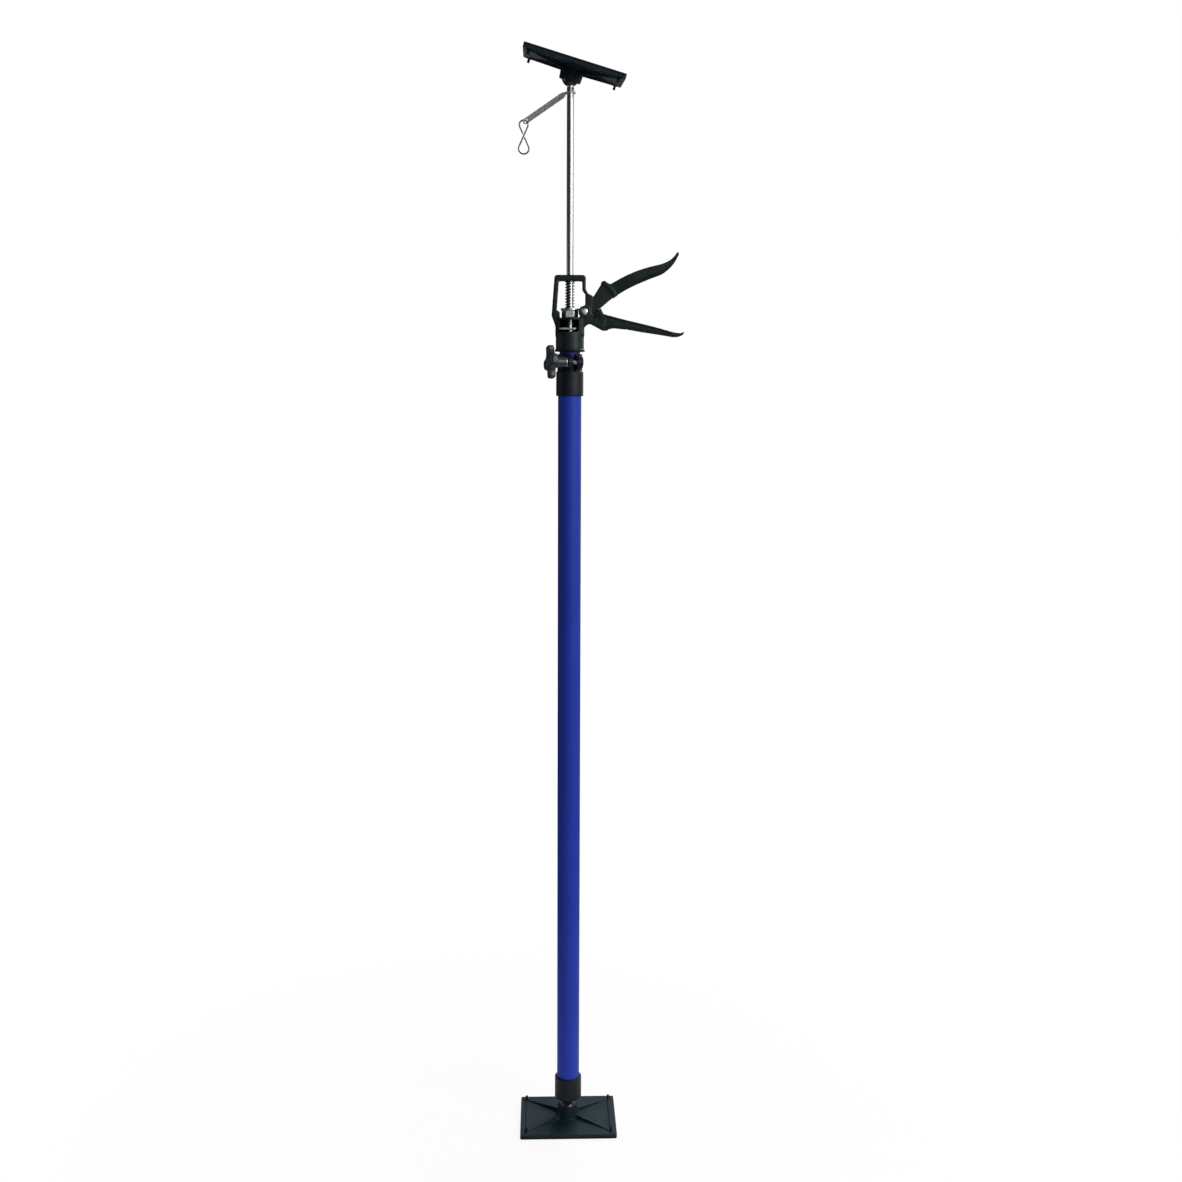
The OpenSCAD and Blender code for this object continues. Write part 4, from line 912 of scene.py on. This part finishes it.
JACK_H = 95.6
JACK_VOXEL = 0.45
GRIP = 120.0
PIVOT = (18.0, 50.0)
FRAME_DEPTH, HANDLE_T, LEVER_T, GRIP_T = 19.2, 16.0, 9.0, 16.0
CHAMBER_LOW, SHELF_LOW, SHELF_TOP = 24.4, 39.5, 42.5
BAR_LOW = 88.7
JACK_R, LIP_R, LIP_H = 18.0, 19.2, 2.6
CHAMBER_R, TOP_BOSS_R, LUG_R, SOCKET_H = 15.0, 7.2, 7.0, 20.0
LEDGE_AT, LEDGE_H = 11.0, 4.6
RECESS_DEPTH = 1.3
GRIP_START, GRIP_SWELL = 42.0, 38.0
ROLL_DEPTH, ROLL_W = 2.6, 6.0
NOSE_REACH, NOSE_DROP, NOSE_R, NOSE_HUB_R = 7.3, 9.3, 1.6, 5.8
PIN_R, PIN_HEAD_R, PIN_HEAD_H, PIN_DOME_R = 3.0, 4.7, 1.8, 11.0
PIN_RIVET_R, PIN_SLOT_W, PIN_SLOT_FLOOR = 3.95, 1.1, 0.75
DRIVE_AF, DRIVE_H = 18.5, 9.3
LOCK_R, LOCK_HOLE_R, LOCK_T, LOCK_TAB_AT = 13.5, 4.85, 2.5, -20.0
LOCK_LIFT, LOCK_TILT = 4.9, 5.0

# Outlines as shares of the grip's length about the pivot: (along, up, corner radius)
LEVER_SHARES = [
    (0.025, -0.050, 0.02), (0.088, -0.029, 0.10), (0.185, 0.047, 0.30), (0.290, 0.136, 0.60),
    (0.419, 0.219, 1.20), (0.533, 0.279, 1.20), (0.694, 0.347, 1.20), (0.824, 0.394, 0.20),
    (0.892, 0.444, 0.60), (0.953, 0.509, 0.60), (0.999, 0.596, 0.02), (0.990, 0.634, 0.010),
    (0.928, 0.548, 0.30), (0.823, 0.497, 0.40), (0.693, 0.470, 1.20), (0.532, 0.418, 1.20),
    (0.403, 0.358, 1.20), (0.273, 0.287, 0.03), (0.223, 0.318, 0.02), (0.196, 0.318, 0.02),
    (0.099, 0.163, 0.02), (0.029, 0.067, 0.04), (-0.017, 0.033, 0),
]
HANDLE_SHARES = [
    (-0.033, -0.180, 0), (0.004, -0.150, 0.02), (0.055, -0.119, 0.05), (0.123, -0.153, 0.15),
    (0.194, -0.193, 0.02), (0.246, -0.193, 0.02), (0.263, -0.178, 0.02), (0.312, -0.167, 0.10),
    (0.450, -0.181, 1.20), (0.613, -0.209, 1.20), (0.778, -0.233, 1.20), (0.924, -0.256, 0.30),
    (0.998, -0.259, 0.15), (1.052, -0.236, 0.03), (1.072, -0.200, 0.012),
    (1.031, -0.218, 0.06), (0.964, -0.213, 0.20), (0.777, -0.161, 1.20), (0.613, -0.121, 1.20),
    (0.449, -0.084, 1.20), (0.263, -0.037, 0.10), (0.205, -0.021, 0.03), (0.179, 0.038, 0.01),
    (0.086, -0.029, 0), (-0.033, -0.042, 0),
]
RECESS_SHARES = [
    (0.217, -0.168, 0.01), (0.308, -0.145, 0.06), (0.450, -0.158, 0.60), (0.775, -0.210, 0.60),
    (0.915, -0.232, 0.01), (0.915, -0.219, 0.01), (0.775, -0.180, 0.60), (0.450, -0.103, 0.60),
    (0.232, -0.052, 0.02),
]
POCKET_SHARES = [
    (0.092, -0.073, 0.01), (0.163, -0.073, 0.01), (0.163, -0.004, 0.01), (0.098, -0.042, 0.01),
]
SLOT_SHARES = [
    (-0.117, -0.103, 0), (-0.017, -0.103, 0), (0.025, -0.083, 0), (0.200, -0.083, 0),
    (0.360, -0.048, 0), (0.360, 0.283, 0), (0.094, 0.175, 0), (0.085, 0.167, 0),
    (0.0125, 0.079, 0), (-0.117, 0.079, 0),
]
# Where the grooves across the handle's lower edge start and end, and their spacing, in millimetres
GROOVES = (54.0, 112.0, 2.6)


def about_pivot(shares):
    return [(PIVOT[0] + s[0] * GRIP, PIVOT[1] + s[1] * GRIP, s[2] * GRIP) for s in shares]


def frame_corners():
    left, right, edge = -18, 20.2, 3.9
    return [
        (left, 20, 0), (left, 31, edge), (-23.2, 44.5, edge), (-19.4, JACK_H, edge),
        (right, JACK_H, edge), (right, 78, edge), (PIVOT[0] + 5.04, PIVOT[1] + 22.8, 2.4),
        (PIVOT[0] + 11.28, PIVOT[1] + 19.56, 0.5), (PIVOT[0] + 10.32, PIVOT[1] - 3.48, 1.2),
        (18, 31, 0), (18, 20, 0)]


def window_corners():
    left, right, edge = -12.84, 19.4, 1.95
    return [
        (-14.2, BAR_LOW, edge), (15.6, BAR_LOW, edge), (15.6, 77, edge), (right, 72.4, edge),
        (right, SHELF_TOP, 0), (left, SHELF_TOP, 0), (left, 49.475, 1.3), (-16.8, 52.075, 1.3)]


def side_outline(block, corners, turn=8):
    return outline(block.x[:, 0, :], block.z[0], rounded(corners, turn))[:, None, :]


def make_casting():
    block = Block((-24, -LIP_R, 0), (PIVOT[0] + 1.09 * GRIP, LIP_R, JACK_H), JACK_VOXEL)
    x, y, z = block.x, block.y, block.z
    radial = np.hypot(x, y)
    from_pin = np.hypot(x - PIVOT[0], z - PIVOT[1])

    def side(corners):
        return side_outline(block, corners)

    above_lip = LIP_H / 3
    lip = drum(radial - LIP_R, z, 0, LIP_H, 0.9)
    body = join(drum(radial - JACK_R, z, above_lip, SHELF_TOP, 0.8), lip, 1.2)
    field = join(body, slab(side(frame_corners()), y, FRAME_DEPTH / 2, 1.7), 2.4)
    field = cut(field, slab(side(window_corners()), y, FRAME_DEPTH, 0), 1.6)
    field = join(field, drum(radial - TOP_BOSS_R, z, BAR_LOW + 1, JACK_H, 0.8), 1.2)
    field = cut(field, drum(radial - CHAMBER_R, z, CHAMBER_LOW, SHELF_LOW, 0.3))
    arm = slab(side(about_pivot(HANDLE_SHARES)), y, HANDLE_T / 2, 2.0)
    lug = drum(from_pin - LUG_R, y, -FRAME_DEPTH / 2, FRAME_DEPTH / 2, 0.8)
    inside = radial - CHAMBER_R - 0.5
    arm = cut(join(arm, lug, 1.6), np.maximum(inside, z - SHELF_TOP))
    recess = side(about_pivot(RECESS_SHARES))
    for side_y in SIDES:
        arm = cut(arm, slab(recess, y - side_y * HANDLE_T / 2, RECESS_DEPTH, 0.6), 0.9)
    field = join(field, arm, 3.0)
    ledge = np.maximum(CHAMBER_LOW - z, z - CHAMBER_LOW - LEDGE_H)
    ledge = np.maximum(np.maximum(inside, LEDGE_AT - y), ledge)
    field = join(field, ledge, 0.4)
    field = cut(field, drum(radial - INNER_TUBE_R - 0.02, z, -2, SOCKET_H), 0.5)
    field = cut(field, drum(radial - GUIDE_R - 0.02, z, SOCKET_H - 2, CHAMBER_LOW + 1))
    field = cut(field, drum(radial - ROD_R - 0.3, z, SHELF_LOW - 1, SHELF_TOP + 1), 0.4)
    field = cut(field, drum(radial - ROD_R - PLAY, z, BAR_LOW - 1, JACK_H + 2), 0.6)
    front = side([(-13.5, CHAMBER_LOW, 1), (11.5, CHAMBER_LOW, 3), (11.5, SHELF_LOW, 0.6),
                  (-13.5, SHELF_LOW, 0.6)])
    field = cut(field, np.maximum(front, y + 2), 0.9)
    field = cut(field, slab(side(about_pivot(SLOT_SHARES)), y, LEVER_T / 2 + 0.3), 0.5)
    field = cut(field, from_pin - PIN_R - 0.02, 0.3)
    pocket = side(about_pivot(POCKET_SHARES))
    field = cut(field, np.maximum(pocket, y + LEVER_T / 2), 0.5)
    return block, field


def serrate(block, field):
    """Cuts grip grooves across the handle's lower edge."""
    x, z = block.x, block.z
    lower = about_pivot(HANDLE_SHARES)[7:12]
    at, end, pitch = GROOVES
    while at < end:
        px = PIVOT[0] + at
        for (ax, az, _), (bx, bz, _) in zip(lower, lower[1:]):
            if ax <= px <= bx:
                pz = az + (bz - az) * (px - ax) / (bx - ax)
                field = cut(field, np.hypot(x - px, z - pz + 0.25) - 0.75, 0.5)
        at += pitch
    return field


def make_jack():
    block, field = make_casting()
    field = serrate(block, field)
    place_piece(cast("jack_casting", block, field, moved(0, 0, low("jack_body").z)), "jack_body")


def make_lever():
    corners = about_pivot(LEVER_SHARES)
    block = Block((PIVOT[0] - 10, -GRIP_T / 2, PIVOT[1] - 12),
                  (PIVOT[0] + 1.01 * GRIP, GRIP_T / 2, PIVOT[1] + 77), JACK_VOXEL)
    x, y, z = block.x, block.y, block.z
    flat = side_outline(block, corners)
    reach = np.hypot(x - PIVOT[0], z - PIVOT[1])
    edge = rounded(corners, 8)
    tip = [i for i, p in enumerate(edge) if p[0] > PIVOT[0] + 0.95 * GRIP][0]
    there, back = edge[:tip + 1], [(p[0], p[1] + 0.01) for p in edge[tip::-1]]
    from_lower_edge = np.abs(outline(x[:, 0, :], z[0], there + back))[:, None, :]
    roll = ROLL_DEPTH * np.clip(1 - from_lower_edge / ROLL_W, 0, 1) ** 2
    swell = np.clip((reach - GRIP_START) / GRIP_SWELL, 0, 1)
    half = LEVER_T / 2 + (GRIP_T - LEVER_T) / 2 * swell * swell * (3 - 2 * swell)
    grip = np.maximum(flat, GRIP_START - reach)
    grip = slab(grip, np.abs(y) + roll + GRIP_T / 2 - half, GRIP_T / 2, 1.8)
    root = slab(np.maximum(flat + 0.3, reach - GRIP_START - 4), y, LEVER_T / 2, 1.0)
    hub = drum(reach - NOSE_HUB_R, y, -LEVER_T / 2, LEVER_T / 2, 0.4)
    nose = slab(side_outline(block, nose_corners(), 10), y, LEVER_T / 2, 0.4)
    field = join(join(root, grip, 3.0), join(hub, nose, 1.0), 0.8)
    field = cut(field, reach - PIN_R - PLAY, 0.3)
    place_piece(cast("lever_casting", block, field, moved(0, 0, low("jack_body").z)), "lever")


def nose_corners():
    """The nose that lifts the drive block."""
    along = np.array([NOSE_REACH - NOSE_R, NOSE_DROP - NOSE_HUB_R])
    along /= np.linalg.norm(along)
    across = np.array([-along[1], along[0]]) * NOSE_R
    tip = np.array([-NOSE_REACH, -NOSE_DROP]) - along * NOSE_R
    root = np.array([0, NOSE_R - NOSE_HUB_R])
    corners = (tip + across, tip - across, root - across, root + across)
    return [(PIVOT[0] + p[0], PIVOT[1] + p[1], NOSE_R * 0.9) for p in corners]


def make_pin():
    half = FRAME_DEPTH / 2
    block = Block((-5, -5, -half - 1), (5, 5, half + 2), 0.2)
    x, y, z = block.x, block.y, block.z
    radial = np.hypot(x, y)
    field = drum(radial - PIN_R, z, -half, half)
    dome = np.sqrt(radial ** 2 + (z - half - PIN_HEAD_H + PIN_DOME_R) ** 2) - PIN_DOME_R
    head = drum(radial - PIN_HEAD_R, z, half, half + PIN_HEAD_H, 0.45)
    field = join(field, np.maximum(head, dome), 0.1)
    field = join(field, drum(radial - PIN_RIVET_R, z, -half - 0.9, -half, 0.35), 0.1)
    slot = np.maximum(np.abs((x + y) / math.sqrt(2)) - PIN_SLOT_W / 2, half + PIN_SLOT_FLOOR - z)
    field = cut(field, slot, 0.2)
    place = moved(PIVOT[0], 0, low("jack_body").z + PIVOT[1]) @ turned(90, "X")
    place_piece(cast("lever_pin_slotted", block, field, place), "lever_pin")


def make_drive():
    corner = DRIVE_AF / math.sqrt(3)
    base = low("drive_block").z
    block = Block((-corner, -corner, 0), (corner, corner, DRIVE_H), 0.25)
    x, y, z = block.x, block.y, block.z
    radial = np.hypot(x, y)
    bevel = np.maximum(np.maximum(z - DRIVE_H + 0.9, 0.9 - z), 0)
    body = np.maximum(hexagon(x, y, DRIVE_AF), radial - corner - 0.1 + 1.6 * bevel)
    field = slab(body, z - DRIVE_H / 2, DRIVE_H / 2, 0.35)
    field = cut(field, radial - ROD_R - PLAY, 0.3)
    place_piece(cast("drive_block_hex", block, field, moved(0, 0, base)), "drive_block")


def make_lock():
    base = low("jack_body").z + CHAMBER_LOW + LOCK_LIFT
    place = moved(0, LEDGE_AT, base) @ turned(LOCK_TILT, "X") @ moved(0, -LEDGE_AT, 0)
    block = Block((-LOCK_R - 0.1, LOCK_TAB_AT, 0), (LOCK_R + 0.1, LOCK_R + 0.1, LOCK_T), 0.25)
    x, y, z = block.x, block.y, block.z
    radial = np.hypot(x, y)
    tab = rounded([(-13, 0, 0), (-13, LOCK_TAB_AT, 1.5), (7.5, LOCK_TAB_AT, 1.5), (7.5, 0, 0)])
    tab = outline(x[:, :, 0], y[:, :, 0], tab)[:, :, None]
    field = slab(join(radial - LOCK_R, tab, 0.6), z - LOCK_T / 2, LOCK_T / 2, 0.4)
    field = cut(field, radial - LOCK_HOLE_R, 0.3)
    place_piece(cast("lock_plate_zinc", block, field, place), "lock_plate")


# Floor and light

FLOOR_W = 24.0


def combine(tree, operation, first, second):
    made = node(tree, "Math", operation=operation)
    tree.links.new(first, made.inputs[0])
    tree.links.new(second, made.inputs[1])
    return made.outputs[0]


def mix_shaders(tree, share, first, second, out):
    """Sends a mix of two shaders to the output node's surface."""
    mix = node(tree, "MixShader")
    tree.links.new(share, mix.inputs["Fac"])
    tree.links.new(first, mix.inputs[1])
    tree.links.new(second, mix.inputs[2])
    tree.links.new(mix.outputs["Shader"], out.inputs["Surface"])


def make_stage():
    """A pale floor, which turns white with distance for the camera and dark with distance for other rays."""
    material, tree = new_material("floor_pale")
    out = node(tree, "OutputMaterial")
    diffuse = node(tree, "BsdfDiffuse")
    glow = node(tree, "Emission", Color=(1, 1, 1, 1), Strength=1.0)
    distance = node(tree, "VectorMath", operation="LENGTH")
    tree.links.new(object_point(tree), distance.inputs[0])
    far = ramp(tree, distance.outputs["Value"], 0.10, 0.75, 0.90, 1.0)
    bounce = ramp(tree, distance.outputs["Value"], 0.15, 0.9, 0.95, 0.06)
    camera_ray = node(tree, "LightPath").outputs["Is Camera Ray"]
    pale = node(tree, "Mix", data_type="FLOAT")
    tree.links.new(camera_ray, pale.inputs["Factor"])
    tree.links.new(bounce, pale.inputs[2])
    pale.inputs[3].default_value = 0.98
    tree.links.new(pale.outputs[0], diffuse.inputs["Color"])
    share = combine(tree, "MULTIPLY", far, camera_ray)
    mix_shaders(tree, share, diffuse.outputs["BSDF"], glow.outputs["Emission"], out)
    side = FLOOR_W / 2
    mesh = bpy.data.meshes.new("floor")
    corners = [(-side, -side, 0), (side, -side, 0), (side, side, 0), (-side, side, 0)]
    mesh.from_pydata(corners, [], [(0, 1, 2, 3)])
    floor = bpy.data.objects.new("floor", mesh)
    mesh.materials.append(material)
    link(floor)


def make_world(level):
    """A dim studio before a white background, which glossy rays see only behind the pole."""
    world = bpy.data.worlds.new("studio")
    bpy.context.scene.world = world
    world.use_nodes = True
    tree = world.node_tree
    tree.nodes.clear()
    out = node(tree, "OutputWorld")
    dim = node(tree, "Background", Strength=level)
    white = node(tree, "Background", Strength=1.0)
    white.inputs["Color"].default_value = (1, 1, 1, 1)
    rays = node(tree, "LightPath").outputs
    direct = combine(tree, "MAXIMUM", rays["Is Camera Ray"], rays["Is Transmission Ray"])
    direction = node(tree, "TexCoord").outputs["Generated"]
    parts = node(tree, "SeparateXYZ")
    tree.links.new(direction, parts.inputs["Vector"])
    behind = ramp(tree, parts.outputs["Y"], 0.90, 0.97, 0, 1)
    glossy = combine(tree, "MULTIPLY", behind, rays["Is Glossy Ray"])
    shown = combine(tree, "MAXIMUM", direct, glossy)
    mix_shaders(tree, shown, dim.outputs["Background"], white.outputs["Background"], out)


def area_light(name, at, towards, width, height, watts):
    data = bpy.data.lights.new(name, "AREA")
    data.shape = "RECTANGLE"
    data.size, data.size_y = width, height
    data.energy = watts
    light = bpy.data.objects.new(name, data)
    light.location = at
    light.rotation_euler = (Vector(towards) - Vector(at)).to_track_quat("-Z", "Y").to_euler()
    link(light)


def make_lights():
    make_world(0.05)
    area_light("key", (1.84, -1.54, 1.65), (0, 0, 0.75), 1.5, 1.5, 42)
    area_light("front", (0.42, -2.35, 1.25), (0, 0, 1.0), 0.5, 1.7, 4)
    area_light("fill", (-2.2, 0.1, 0.5), (0, 0, 0.5), 1.6, 1.7, 5.5)
    area_light("side", (2.0, 0.35, 1.2), (0, 0, 1.0), 1.3, 2.3, 4.5)
    area_light("back", (1.5, 1.6, 1.4), (0, 0, 0.9), 0.8, 2.0, 7)
    area_light("top", (0.6, 1.5, 2.5), (0, 0, 0.2), 1.4, 1.4, 48)


bpy.context.scene.view_settings.view_transform = "Standard"
make_camera()
make_plates()
make_tubes()
make_studs()
make_rod()
make_springs()
make_hook()
make_strap()
make_collar()
make_bolt()
make_knob()
make_jack()
make_lever()
make_pin()
make_drive()
make_lock()
for name, cad in frame["nodes"].items():
    cad.data.materials.clear()
    cad.data.materials.append(MATERIALS[slot_of[name]])
make_stage()
make_lights()
